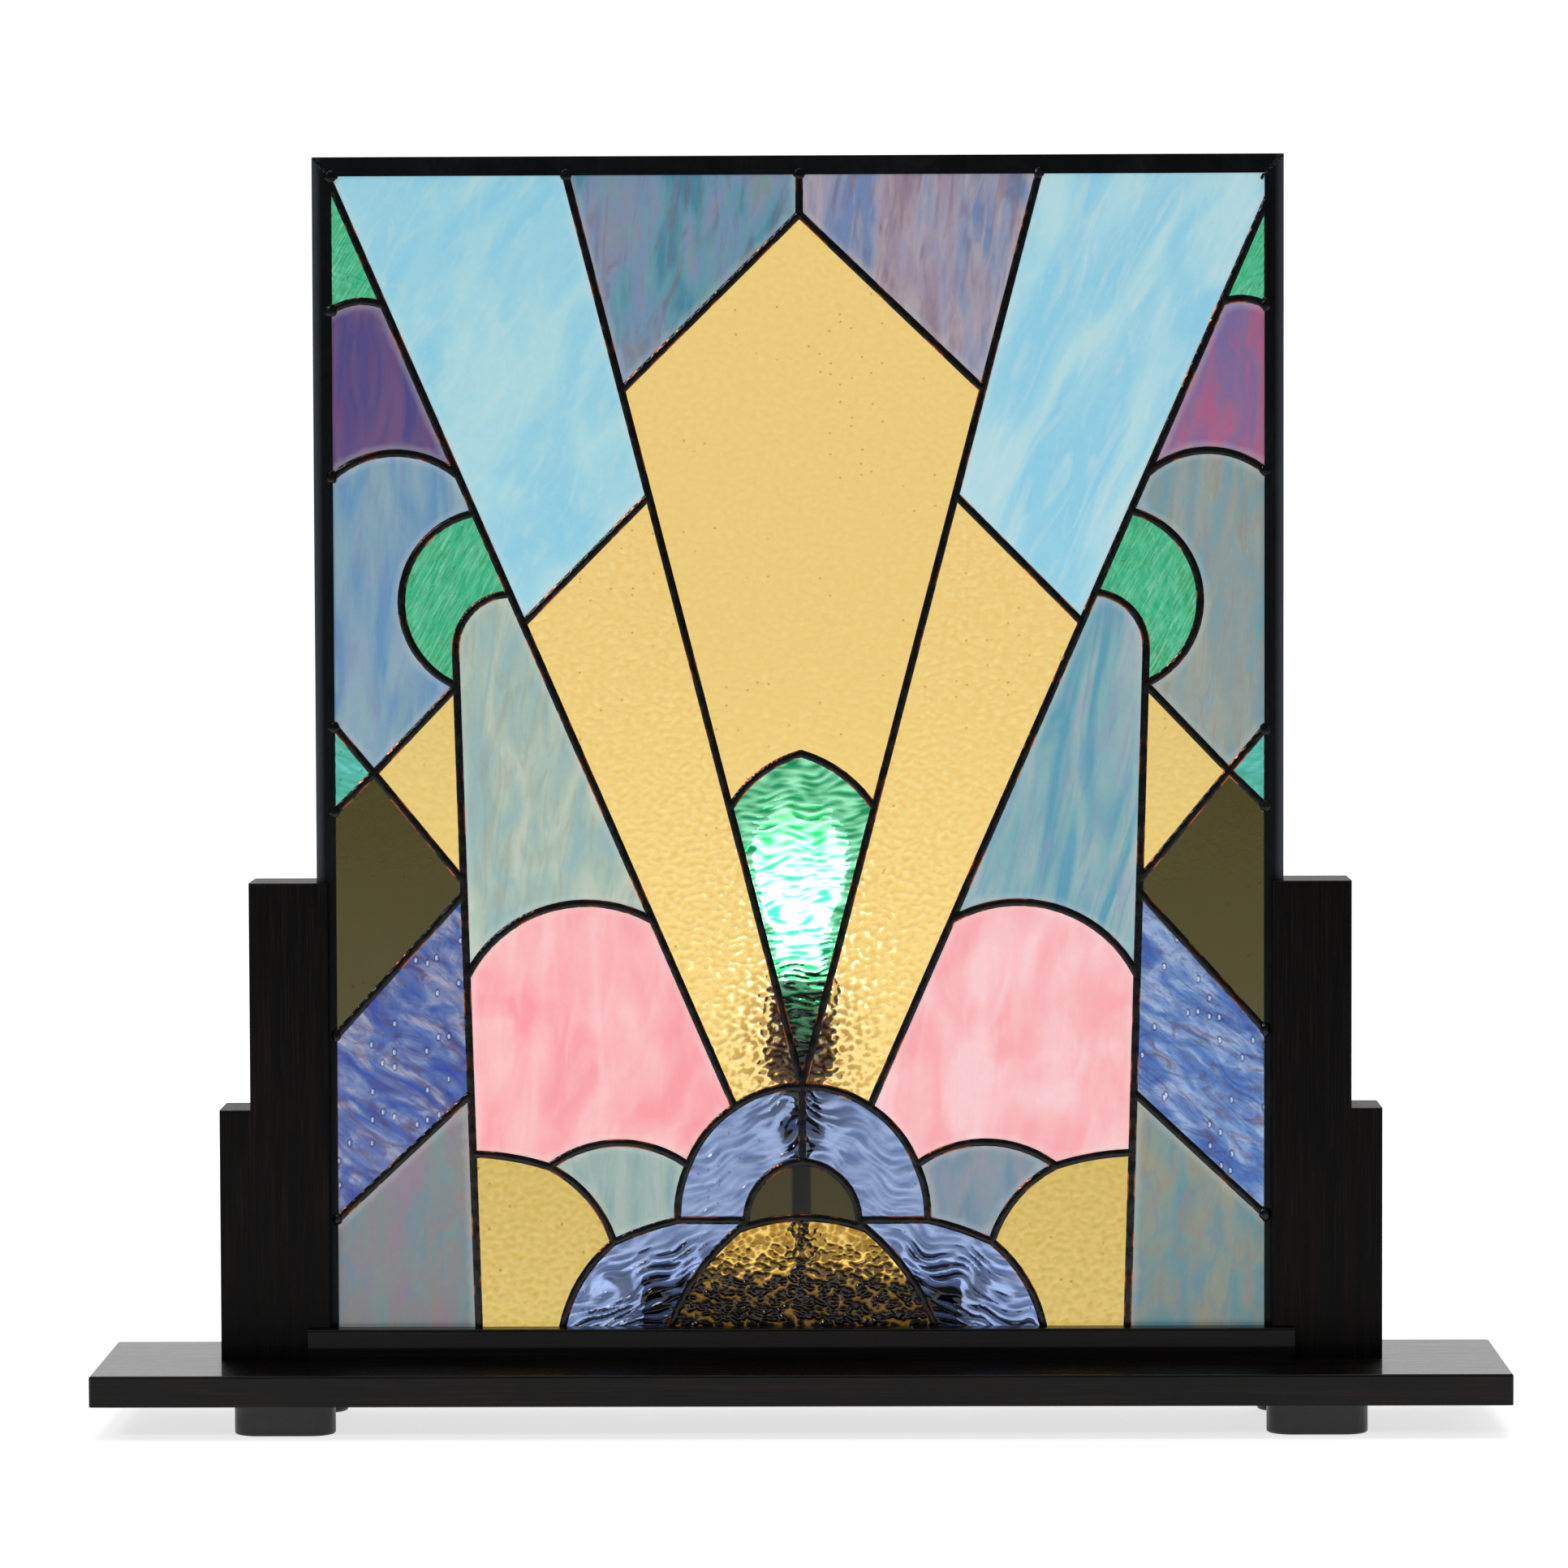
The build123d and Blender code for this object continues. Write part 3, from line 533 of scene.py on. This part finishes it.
def slab(name, rings, step, seed, front, back, **stored):
    """A closed mesh between two surfaces over the rings. front and back give y at (x, z).

    Each further function's value is kept on the points, for the shader to read.
    """
    points, faces, rim = filled(rings, step, seed)
    count = len(points)
    vertices = [(p.x, front(p), p.y) for p in points] + [(p.x, back(p), p.y) for p in points]
    polygons = [tuple(face) for face in faces]
    polygons += [tuple(count + corner for corner in reversed(face)) for face in faces]
    polygons += [(b, a, a + count, b + count) for a, b in rim]
    mesh = bpy.data.meshes.new(name)
    mesh.from_pydata(vertices, [], polygons)
    mesh.validate()
    for key, measure in stored.items():
        values = [measure(p) for p in points]
        mesh.attributes.new(key, "FLOAT", "POINT").data.foreach_set("value", values + values)
    mesh.shade_smooth()
    mesh.set_sharp_from_angle(angle=math.radians(50))
    piece = bpy.data.objects.new(name, mesh)
    bpy.context.collection.objects.link(piece)
    return piece


# ---------------------------------------------------------------- relief of each kind of glass


def wave(point, across, along, turn, shift):
    """Smooth noise from -1 to 1, stretched along a direction turned from X."""
    x = point.x * math.cos(turn) + point.y * math.sin(turn)
    z = point.y * math.cos(turn) - point.x * math.sin(turn)
    return noise.noise(Vector((x / along, z / across, shift)))


def calm(point):
    """Rolled opal sheet, nearly flat."""
    return 0.05 * MM * wave(point, 0.024, 0.03, 0.3, 1.5)


def deepening(point, start, reach):
    """From 0 at the height start to 1 a reach below it: the relief is deeper low on the sheet."""
    share = min(1.0, max(0.0, (start - point.y) / reach))
    return share * share * (3 - 2 * share)


def nearing(point, centre, reach):
    """From 1 at the centre, an (x, z) spot, to 0 a reach away from it."""
    share = max(0.0, 1 - (point - Vector(centre)).length / reach)
    return share * share * (3 - 2 * share)


def murk_at(point):
    """How much painted shade goes on the glass before the dark block, pipe and socket close behind it.
    """
    beside = min(1.0, max(0.0, (0.115 - abs(point.x)) / 0.05))
    block = deepening(point, BLOCK_SHOWS_FROM, 0.035) * beside
    return max(block, 0.8 * nearing(point, PIPE_SPOT, 0.04), nearing(point, SOCKET_SPOT, 0.055))


def painted_glints_at(point):
    """How much painted glint goes on the glass: near the bulb, and a painted reflection of the block's
    gloss below.
    """
    # Painted reflection of the block's gloss in a band over its top, and a painted light line at the
    # very bottom.
    gloss = deepening(point, 0.09, 0.02) * (1 - 0.8 * deepening(point, 0.084, 0.024))
    gloss += 0.7 * deepening(point, 0.044, 0.007)
    return max(nearing(point, BULB_SPOT, 0.07), gloss)


def orange_peel(point, height=1.0):
    """Gold sheet: soft dimples a few millimetres apart."""
    bend = 0.002 * noise.noise(Vector((point.x, point.y, 2.0)) / 0.012)
    moved = point + Vector((bend, bend))
    broad = wave(moved, 0.0023, 0.0033, 0.2, 3.0)
    fine = wave(moved, 0.0014, 0.0018, 1.0, 8.0)
    return height * MM * (0.26 * broad + 0.1 * fine)


def soft_peel(point):
    """The calmer gold sheet of the middle pane."""
    return orange_peel(point, 0.6)


def ray_peel(point):
    """The rays' gold sheet, hammered deeper towards their feet."""
    beside_bulb = nearing(point, (0, 0.255), 0.11)
    return orange_peel(point, 1 + 1.2 * beside_bulb + 2.6 * nearing(point, (0, 0.165), 0.1))


def rippled(point, turn=0.1, height=0.85):
    """Green sheet: long waves lying one over another."""
    bend = 0.004 * noise.noise(Vector((point.x, point.y, 6.0)) / 0.016)
    moved = point + Vector((0, bend))
    return height * MM * wave(moved, 0.0019, 0.0085, turn, 5.0)


def drop_ripple(point):
    """The teardrop's waves, deeper from the bulb down."""
    return rippled(point, height=0.9 + 1.1 * deepening(point, 0.27, 0.08))


def leaf_ripple(point):
    """The leaves' waves run up the glass, to mirrored slopes on the two sides."""
    return rippled(Vector((abs(point.x), point.y)), turn=2.0, height=0.3)


def corner_ripple(point):
    """The small green panes' waves, nearly level and mirrored."""
    return rippled(Vector((abs(point.x), point.y)), turn=0.35, height=0.3)


def drifted(point):
    """Blue sheet: waves that run down and out from the middle, with calmer ground between."""
    mirrored = Vector((abs(point.x), point.y))
    bend = 0.005 * noise.noise(Vector((point.x, point.y, 9.0)) / 0.018)
    moved = mirrored + Vector((bend, bend))
    calmness = 0.5 + 0.5 * noise.noise(Vector((point.x, point.y, 4.0)) / 0.03)
    deep = 1 + 1.5 * deepening(point, 0.098, 0.02) + 1.2 * nearing(point, PIPE_SPOT, 0.035)
    return (0.35 + 0.8 * calmness) * deep * MM * wave(moved, 0.0024, 0.012, -0.42, 7.0)


def bubbling(point):
    """Streaky blue sheet: slow swells."""
    return 0.16 * MM * wave(point, 0.005, 0.011, 0.6, 4.4)


def hammered(point):
    """Coarse hammered sheet: round bosses pressed close together."""
    bend = 0.0016 * noise.noise(Vector((point.x, point.y, 1.0)) / 0.006)
    distances, _ = noise.voronoi(Vector(((point.x + bend) / 0.0034, (point.y - bend) / 0.0024, 0.0)))
    boss = max(0.0, 1 - distances[0] ** 2 * 1.6)
    return MM * (1.1 * boss - 0.5) + 0.3 * MM * wave(point, 0.0014, 0.0022, 0.4, 2.0)


def thinness(relief):
    """The relief's own height as a 0 to 1 measure of how thin the glass is there."""
    return lambda point: min(1.0, max(0.0, 0.5 - relief(point) / (0.7 * MM)))


# ---------------------------------------------------------------- the panes

# The gold carries painted shade for the socket and pipe behind it, and painted glints for the bulb's
# light.
gold = cathedral(
    "gold", srgb(226, 188, 100), srgb(240, 214, 142), seeds=0.7, rough=0.03,
    murk=(srgb(120, 78, 22), 0.28, 0.46), painted_glint=(srgb(255, 246, 214), 1.3, 0.7, 0.98),
)
petal_gold = cathedral("petal_gold", srgb(172, 146, 70), srgb(202, 178, 100), seeds=0.7)
kite_gold = cathedral("kite_gold", srgb(212, 180, 92), srgb(232, 206, 134), seeds=0.7)
dome_olive = cathedral("dome_olive", srgb(46, 42, 12), srgb(56, 50, 18), seeds=0.5, rough=0.12)
# The teardrop's green carries painted shade for the socket behind its tip, and painted glints for the
# bulb's light.
green = cathedral(
    "rippled_green", srgb(24, 138, 84), srgb(140, 226, 180), seeds=0.3, rough=0.07,
    murk=(srgb(4, 52, 30), 0.3, 0.6), painted_glint=(srgb(120, 232, 170), 0.25, 0.45, 0.8),
)
leaf_green = cathedral(
    "leaf_green",
    srgb(22, 152, 104),
    srgb(70, 188, 140),
    seeds=0.5,
    # The pale lines are painted highlights, standing in for the light that the ripples throw.
    grain=[(srgb(196, 238, 216), 0.5, (0.0011, 0.0009, 0.012), 0.5)],
    streaks=[(srgb(36, 146, 86), 0.7, 0.016, 0.4, 0.46)],
)
teal_green = cathedral(
    "teal_green", srgb(44, 150, 142), srgb(118, 208, 192), seeds=0.4,
    streaks=[(srgb(44, 150, 104), 0.8, (0.03, 0.01, 0.008), 0.1, 0.46)],
)
# The blue carries painted shade for the block and pipe behind it, and painted glints over the block.
arch_blue = cathedral(
    "arch_blue", srgb(88, 108, 146), srgb(138, 158, 194), seeds=1.1, rough=0.05,
    murk=(srgb(16, 22, 44), 0.34, 0.52), painted_glint=(srgb(112, 136, 190), 0.45, 0.5, 0.75),
    streaks=[
        (srgb(70, 92, 150), 0.6, (0.02, 0.01, 0.007), -0.5, 0.5),
        (srgb(160, 150, 180), 0.5, (0.018, 0.01, 0.004), -0.5, 0.56),
    ],
)
olive = cathedral("olive", srgb(66, 62, 30), srgb(76, 71, 38), seeds=0.9)
# The dome's gold is painted darker before the block behind it, with painted glints for the block's
# gloss.
dark_gold = cathedral(
    "dark_gold", srgb(150, 110, 28), srgb(218, 184, 92), seeds=0.0, rough=0.14,
    murk=(srgb(70, 46, 10), 0.1, 1.0), painted_glint=(srgb(214, 166, 66), 0.5, 0.5, 1.0),
)
streaky = bubbled(
    "streaky_blue",
    left=[(0.36, srgb(48, 72, 148)), (0.5, srgb(90, 112, 162)), (0.6, srgb(146, 150, 172))],
    right=[(0.36, srgb(56, 92, 160)), (0.5, srgb(92, 126, 178)), (0.6, srgb(142, 164, 196))],
    wisps=[
        (srgb(84, 58, 76), 0.8, (0.026, 0.02, 0.009), math.radians(30)),
        (srgb(38, 64, 140), 0.7, (0.03, 0.02, 0.005), math.radians(38)),
    ],
)

light_blue_left = opal(
    "light_blue_left", [srgb(146, 210, 232), srgb(158, 216, 232), srgb(176, 222, 231)],
    (0.04, 0.03, 0.08), 0.5, 1.0, wisps=[(srgb(198, 226, 224), 0.35, (0.01, 0.01, 0.03))],
)
light_blue_right = opal(
    "light_blue_right", [srgb(148, 212, 235), srgb(164, 219, 236), srgb(186, 226, 235)],
    (0.03, 0.02, 0.1), 0.42, 2.0, wisps=[(srgb(210, 232, 234), 0.4, (0.009, 0.01, 0.05))],
)
upper_grey_left = opal(
    "upper_grey_left",
    [srgb(78, 134, 158), srgb(102, 152, 170), srgb(120, 146, 178), srgb(138, 144, 164)],
    (0.02, 0.02, 0.07), 0.12, 3.0,
    wisps=[
        (srgb(116, 94, 108), 0.5, (0.01, 0.01, 0.045)),
        (srgb(118, 164, 164), 0.5, (0.012, 0.01, 0.05)),
    ],
)
upper_grey_right = opal(
    "upper_grey_right",
    [srgb(118, 138, 178), srgb(146, 152, 180), srgb(164, 156, 174), srgb(154, 138, 154)],
    (0.02, 0.02, 0.07), 0.12, 4.0,
    wisps=[
        (srgb(196, 180, 176), 0.5, (0.011, 0.01, 0.05)),
        (srgb(124, 104, 120), 0.5, (0.009, 0.01, 0.045)),
    ],
)
purple_left = opal(
    "purple_left", [srgb(80, 76, 132), srgb(96, 82, 130), srgb(112, 86, 128)],
    (0.012, 0.02, 0.06), 0.05, 5.0, wisps=[(srgb(122, 72, 112), 0.35, (0.006, 0.01, 0.05))],
)
purple_right = opal(
    "purple_right", [srgb(124, 108, 158), srgb(142, 110, 150), srgb(164, 106, 144)],
    (0.018, 0.02, 0.05), 0.05, 6.0, wisps=[(srgb(186, 92, 126), 0.7, (0.014, 0.01, 0.045))],
)
side_opal_left = opal(
    "side_opal_left", [srgb(106, 148, 186), srgb(124, 160, 184), srgb(140, 168, 186)],
    (0.016, 0.02, 0.07), 0.06, 7.0,
    wisps=[
        (srgb(128, 138, 176), 0.5, (0.011, 0.01, 0.06)),
        (srgb(140, 178, 174), 0.4, (0.009, 0.01, 0.06)),
    ],
)
side_opal_right = opal(
    "side_opal_right", [srgb(116, 158, 168), srgb(140, 158, 156), srgb(156, 164, 156)],
    (0.016, 0.02, 0.06), 0.1, 8.0,
    wisps=[
        (srgb(154, 138, 130), 0.6, (0.006, 0.01, 0.04)),
        (srgb(112, 160, 182), 0.5, (0.009, 0.01, 0.04)),
    ],
)
tall_opal_left = opal(
    "tall_opal_left", [srgb(154, 184, 182), srgb(172, 192, 178), srgb(188, 200, 186)],
    (0.02, 0.02, 0.06), 0.1, 9.0,
    wisps=[
        (srgb(150, 156, 140), 0.4, (0.009, 0.01, 0.04)),
        (srgb(134, 176, 188), 0.4, (0.008, 0.01, 0.04)),
    ],
)
tall_opal_right = opal(
    "tall_opal_right", [srgb(96, 158, 180), srgb(130, 176, 182), srgb(156, 180, 184)],
    (0.016, 0.02, 0.08), 0.24, 10.0,
    wisps=[
        (srgb(146, 156, 184), 0.5, (0.011, 0.01, 0.06)),
        (srgb(96, 152, 180), 0.5, (0.008, 0.01, 0.06)),
    ],
)
pink = opal(
    "pink", [srgb(246, 158, 164), srgb(248, 174, 177), srgb(249, 190, 192)],
    (0.03, 0.02, 0.06), 0.1, 11.0,
    wisps=[
        (srgb(244, 150, 158), 0.25, (0.014, 0.01, 0.07)),
        (srgb(250, 204, 206), 0.3, (0.016, 0.01, 0.06)),
    ],
    right=[srgb(246, 170, 176), srgb(248, 186, 189), srgb(248, 200, 204)], glow=0.44,
)
wedge_opal = opal(
    "wedge_opal", [srgb(134, 166, 170), srgb(152, 178, 170), srgb(166, 184, 178)],
    (0.014, 0.02, 0.06), 0.05, 12.0, wisps=[(srgb(122, 160, 170), 0.4, (0.007, 0.01, 0.05))],
    right=[srgb(112, 140, 160), srgb(128, 146, 162), srgb(144, 146, 158)],
)
corner_opal = opal(
    "corner_opal", [srgb(118, 142, 144), srgb(130, 134, 138), srgb(140, 128, 142)],
    (0.022, 0.02, 0.05), 0.1, 13.0,
    wisps=[
        (srgb(100, 136, 156), 0.6, (0.011, 0.01, 0.04)),
        (srgb(148, 132, 122), 0.55, (0.012, 0.01, 0.034)),
    ],
    right=[srgb(94, 144, 152), srgb(124, 148, 144), srgb(146, 148, 132)],
)

panes = [
    # (name, relief, mesh step in mm, material)
    ("light_blue_left", calm, 5, light_blue_left),
    ("light_blue_right", calm, 5, light_blue_right),
    ("upper_grey_left", calm, 5, upper_grey_left),
    ("upper_grey_right", calm, 5, upper_grey_right),
    ("purple_left", calm, 5, purple_left),
    ("purple_right", calm, 5, purple_right),
    ("side_opal_left", calm, 5, side_opal_left),
    ("side_opal_right", calm, 5, side_opal_right),
    ("tall_opal_left", calm, 5, tall_opal_left),
    ("tall_opal_right", calm, 5, tall_opal_right),
    ("pink", calm, 5, pink),
    ("opal_wedge", calm, 5, wedge_opal),
    ("bottom_corner", calm, 5, corner_opal),
    ("centre_gold", soft_peel, 1.1, gold),
    ("gold_ray", ray_peel, 0.9, gold),
    ("gold_kite", soft_peel, 1.2, kite_gold),
    ("gold_petal", orange_peel, 1.1, petal_gold),
    ("teardrop", drop_ripple, 0.7, green),
    ("green_leaf", leaf_ripple, 0.8, leaf_green),
    ("corner_green", corner_ripple, 0.8, leaf_green),
    ("side_triangle", corner_ripple, 1.1, teal_green),
    ("rainbow", drifted, 0.8, arch_blue),
    ("blue_quarter", drifted, 0.8, arch_blue),
    ("streaky_blue", bubbling, 1.6, streaky),
    ("olive", calm, 4, olive),
    ("small_dome", calm, 4, dome_olive),
    ("big_dome", hammered, 0.7, dark_gold),
]

# Painted light: opal glass is painted paler near the seams.
HALO = 6 * MM  # opal glass is paler over this width, where light creeps round the seam
EDGE_FADE = 3.2 * MM  # the relief dies away over this width, most of it under the solder
BACK_RELIEF = 0.3  # the rolled back carries this share of the front's relief
BACK_SHIFT = Vector((0.031, -0.017))

def glass_pane(seed, name, relief, step, material):
    """The glass of one node: closed slabs over its outlines, with relief on both faces."""
    node = "glass_" + name
    rings = face_loops(node)
    edge = tree_of([point for ring in rings for point in divided(ring, 1.0 * MM)])

    def edge_distance(point):
        return edge.find((point.x, point.y, 0))[2]

    def eased(point, shift=Vector((0, 0))):
        """The relief, dying away at the pane's edge."""
        away = min(1.0, edge_distance(point) / EDGE_FADE)
        return away * away * (3 - 2 * away) * relief(point + shift)

    pane = slab(
        "pane_" + name,
        rings,
        step * MM * COARSE,
        seed,
        front=lambda p: GLASS_FRONT - eased(p),
        back=lambda p: GLASS_BACK + BACK_RELIEF * eased(p, BACK_SHIFT),
        thin=thinness(relief),
        murk=murk_at,
        lit=painted_glints_at,
        edge=lambda p: 1 - min(1.0, edge_distance(p) / HALO),
    )
    pane.data.materials.append(material)
    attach(pane, "panel")
    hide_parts(node)


for seed, pane_facts in enumerate(panes):
    glass_pane(seed, *pane_facts)


# ---------------------------------------------------------------- solder

BEAD = 0.75 * MM  # how far a seam's crown stands over the glass
LIP = 0.12 * MM  # how far its edge does
seam_rings = face_loops("solder_seams")
EDGE_MARGIN = 0.3 * MM  # a point this near the sight line counts as on it


def at_came(point):
    """True where the seams' outline runs along the came, so that the bead butts into it there."""
    beside = abs(point.x) > SIGHT_X - EDGE_MARGIN
    return beside or point.y < SIGHT_LOW_Z + EDGE_MARGIN or point.y > SIGHT_HIGH_Z - EDGE_MARGIN


free_edge = tree_of([p for ring in seam_rings for p in divided(ring, 0.4 * MM) if not at_came(p)])


def bead_height(point):
    """A round bead over the seam, uneven as it froze, higher where seams meet."""
    inward = free_edge.find((point.x, point.y, 0))[2] / SEAM_HALF
    crown = math.sqrt(1 - (1 - min(inward, 1)) ** 2) + 0.3 * max(0, inward - 1)
    unevenness = 1 + 0.3 * noise.noise(Vector((point.x, point.y, 0)) / 0.006)
    return LIP + BEAD * crown * unevenness


def rim_share(point):
    """1 at the seam's edge and 0 at its crown."""
    return max(0.0, 1 - free_edge.find((point.x, point.y, 0))[2] / SEAM_HALF)


seams = slab(
    "seams",
    seam_rings,
    0.75 * MM * COARSE,
    77,
    front=lambda p: GLASS_FRONT - bead_height(p),
    back=lambda p: GLASS_BACK + bead_height(p),
    rim=rim_share,
)
seams.data.materials.append(black_solder())
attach(seams, "panel")
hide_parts("solder_seams")


def solder_lump(place, size, turn, rng):
    """One blob that froze on the came: its points and faces, about place on the came's face."""
    lump = bmesh.new()
    bmesh.ops.create_icosphere(lump, subdivisions=3, radius=1.0)
    offset = rng.uniform(0, 9)
    for vertex in lump.verts:
        swell = 1 + 0.22 * noise.noise(vertex.co * 1.6 + Vector((offset, 0, 0)))
        across, out, up = vertex.co * swell
        x = across * size.x * math.cos(turn) - up * size.z * math.sin(turn)
        z = across * size.x * math.sin(turn) + up * size.z * math.cos(turn)
        vertex.co = Vector(place) + Vector((x, out * size.y, z))
    points = [tuple(vertex.co) for vertex in lump.verts]
    faces = [tuple(vertex.index for vertex in face.verts) for face in lump.faces]
    lump.free()
    return points, faces


def seam_ends():
    """Where each seam meets the came: the middle of its end, on the sight line."""
    ends = []
    for ring in seam_rings:
        for a, b in zip(ring, ring[1:] + ring[:1]):
            if at_came(a) and at_came(b) and (b - a).length < 4 * SEAM_HALF:
                ends.append((a + b) / 2)
    return ends


def solder_joints():
    """The blobs that join each seam to the came, and the ones run along its upper mitres."""
    rng = random.Random(5)
    onto_came = 0.5 * MM
    lumps = []
    for end in seam_ends():
        sideways = abs(end.x) > SIGHT_X - EDGE_MARGIN
        x = end.x + math.copysign(onto_came, end.x) * sideways
        z = end.y + (0 if sideways else math.copysign(onto_came, end.y - SIGHT_LOW_Z - 0.1))
        size = Vector((rng.uniform(2.5, 3.1), rng.uniform(0.9, 1.2), rng.uniform(2.6, 3.6))) * MM
        lumps += [((x, y, z), size, 0.0) for y in (CAME_FACE, CAME_BACK)]
    came_face = CAME_OUTER_X - SIGHT_X
    for side in (-1, 1):
        for share in (-0.15, 0.1, 0.32, 0.52, 0.7, 0.84):
            shift = rng.uniform(-0.9, 0.9) * MM * (1 - share)
            x = side * (SIGHT_X + share * came_face + shift)
            z = SIGHT_HIGH_Z + share * came_face - shift
            size = Vector((rng.uniform(1.1, 1.7), rng.uniform(0.5, 0.9), rng.uniform(0.8, 1.1))) * MM
            lumps.append(((x, CAME_FACE, z), size, side * math.pi / 4 + rng.uniform(-0.4, 0.4)))
    vertices, polygons = [], []
    for place, size, turn in lumps:
        points, faces = solder_lump(place, size, turn, rng)
        polygons += [tuple(len(vertices) + corner for corner in face) for face in faces]
        vertices += points
    mesh = bpy.data.meshes.new("seam_joints")
    mesh.from_pydata(vertices, [], polygons)
    mesh.shade_smooth()
    joints = bpy.data.objects.new("seam_joints", mesh)
    bpy.context.collection.objects.link(joints)
    mesh.materials.append(seams.data.materials[0])
    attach(joints, "panel")


solder_joints()


# ---------------------------------------------------------------- camera, stage and lights


def studio_sheet():
    """White floor that curves up into a wall far behind the lamp."""
    reach, wall, sweep, width = 5.0, 6.5, 2.0, 9.0
    profile = [(-reach, 0.0), (wall - sweep, 0.0)]
    turns = 24
    for turn in range(1, turns + 1):
        angle = math.pi / 2 * turn / turns
        profile.append((wall - sweep + sweep * math.sin(angle), sweep - sweep * math.cos(angle)))
    profile.append((wall, 6.0))
    vertices = [(side * width, y, z) for y, z in profile for side in (-1, 1)]
    faces = [(2 * i, 2 * i + 1, 2 * i + 3, 2 * i + 2) for i in range(len(profile) - 1)]
    mesh = bpy.data.meshes.new("studio_sheet")
    mesh.from_pydata(vertices, [], faces)
    mesh.shade_smooth()
    sheet = bpy.data.objects.new("studio_sheet", mesh)
    bpy.context.collection.objects.link(sheet)
    finish = Finish("studio_white", Roughness=0.9)
    paper = finish.ramp(finish.noise(0.4), (0.3, (0.93, 0.93, 0.93, 1)), (0.7, (0.95, 0.95, 0.95, 1)))
    depth = finish.node("ShaderNodeSeparateXYZ", {0: finish.place}).outputs[1]
    lit = finish.node("ShaderNodeMapRange", {0: depth, 1: -0.8, 2: -0.4, 3: 0.0, 4: 0.74})
    finish.feed(Base_Color=paper, Emission_Color=paper, Emission_Strength=lit.outputs[0])
    mesh.materials.append(finish.material)


def soft_light(name, place, target, size, power):
    """A round soft light at place, aimed at target."""
    lamp = bpy.data.lights.new(name, "AREA")
    lamp.shape, lamp.size, lamp.energy = "DISK", size, power
    light = bpy.data.objects.new(name, lamp)
    light.location = place
    light.rotation_euler = (Vector(target) - Vector(place)).to_track_quat("-Z", "Y").to_euler()
    bpy.context.collection.objects.link(light)


studio_sheet()
soft_light("overhead", (0.0, 0.6, 3.2), (0, 0, 0.2), 3.0, 48)
soft_light("front_left", (-1.9, -2.6, 2.1), (0, 0, 0.35), 0.7, 20)

world = bpy.data.worlds.new("room")
world.use_nodes = True
world.node_tree.nodes["Background"].inputs["Color"].default_value = (1, 1, 1, 1)
world.node_tree.nodes["Background"].inputs["Strength"].default_value = 0.13
bpy.context.scene.world = world
bpy.context.scene.view_settings.view_transform = "Standard"

CAMERA_PLACE = (0.0319, -3.16175, 0.4828)
YAW, PITCH, ROLL = 0.0125, -0.0517, -0.0036
FOCAL_LENGTH, SENSOR = 145.9, 36.0

ahead = Vector((-math.sin(YAW) * math.cos(PITCH), math.cos(YAW) * math.cos(PITCH), math.sin(PITCH)))
level_right = Vector((math.cos(YAW), math.sin(YAW), 0))
level_up = level_right.cross(ahead)
right = level_right * math.cos(ROLL) + level_up * math.sin(ROLL)
up = -level_right * math.sin(ROLL) + level_up * math.cos(ROLL)
camera = bpy.data.objects.new("camera", bpy.data.cameras.new("camera"))
camera.data.lens, camera.data.sensor_width = FOCAL_LENGTH, SENSOR
camera.data.clip_end = 50
facing = Matrix((right, up, -ahead)).transposed().to_4x4()
camera.matrix_world = Matrix.Translation(CAMERA_PLACE) @ facing
bpy.context.collection.objects.link(camera)
bpy.context.scene.camera = camera
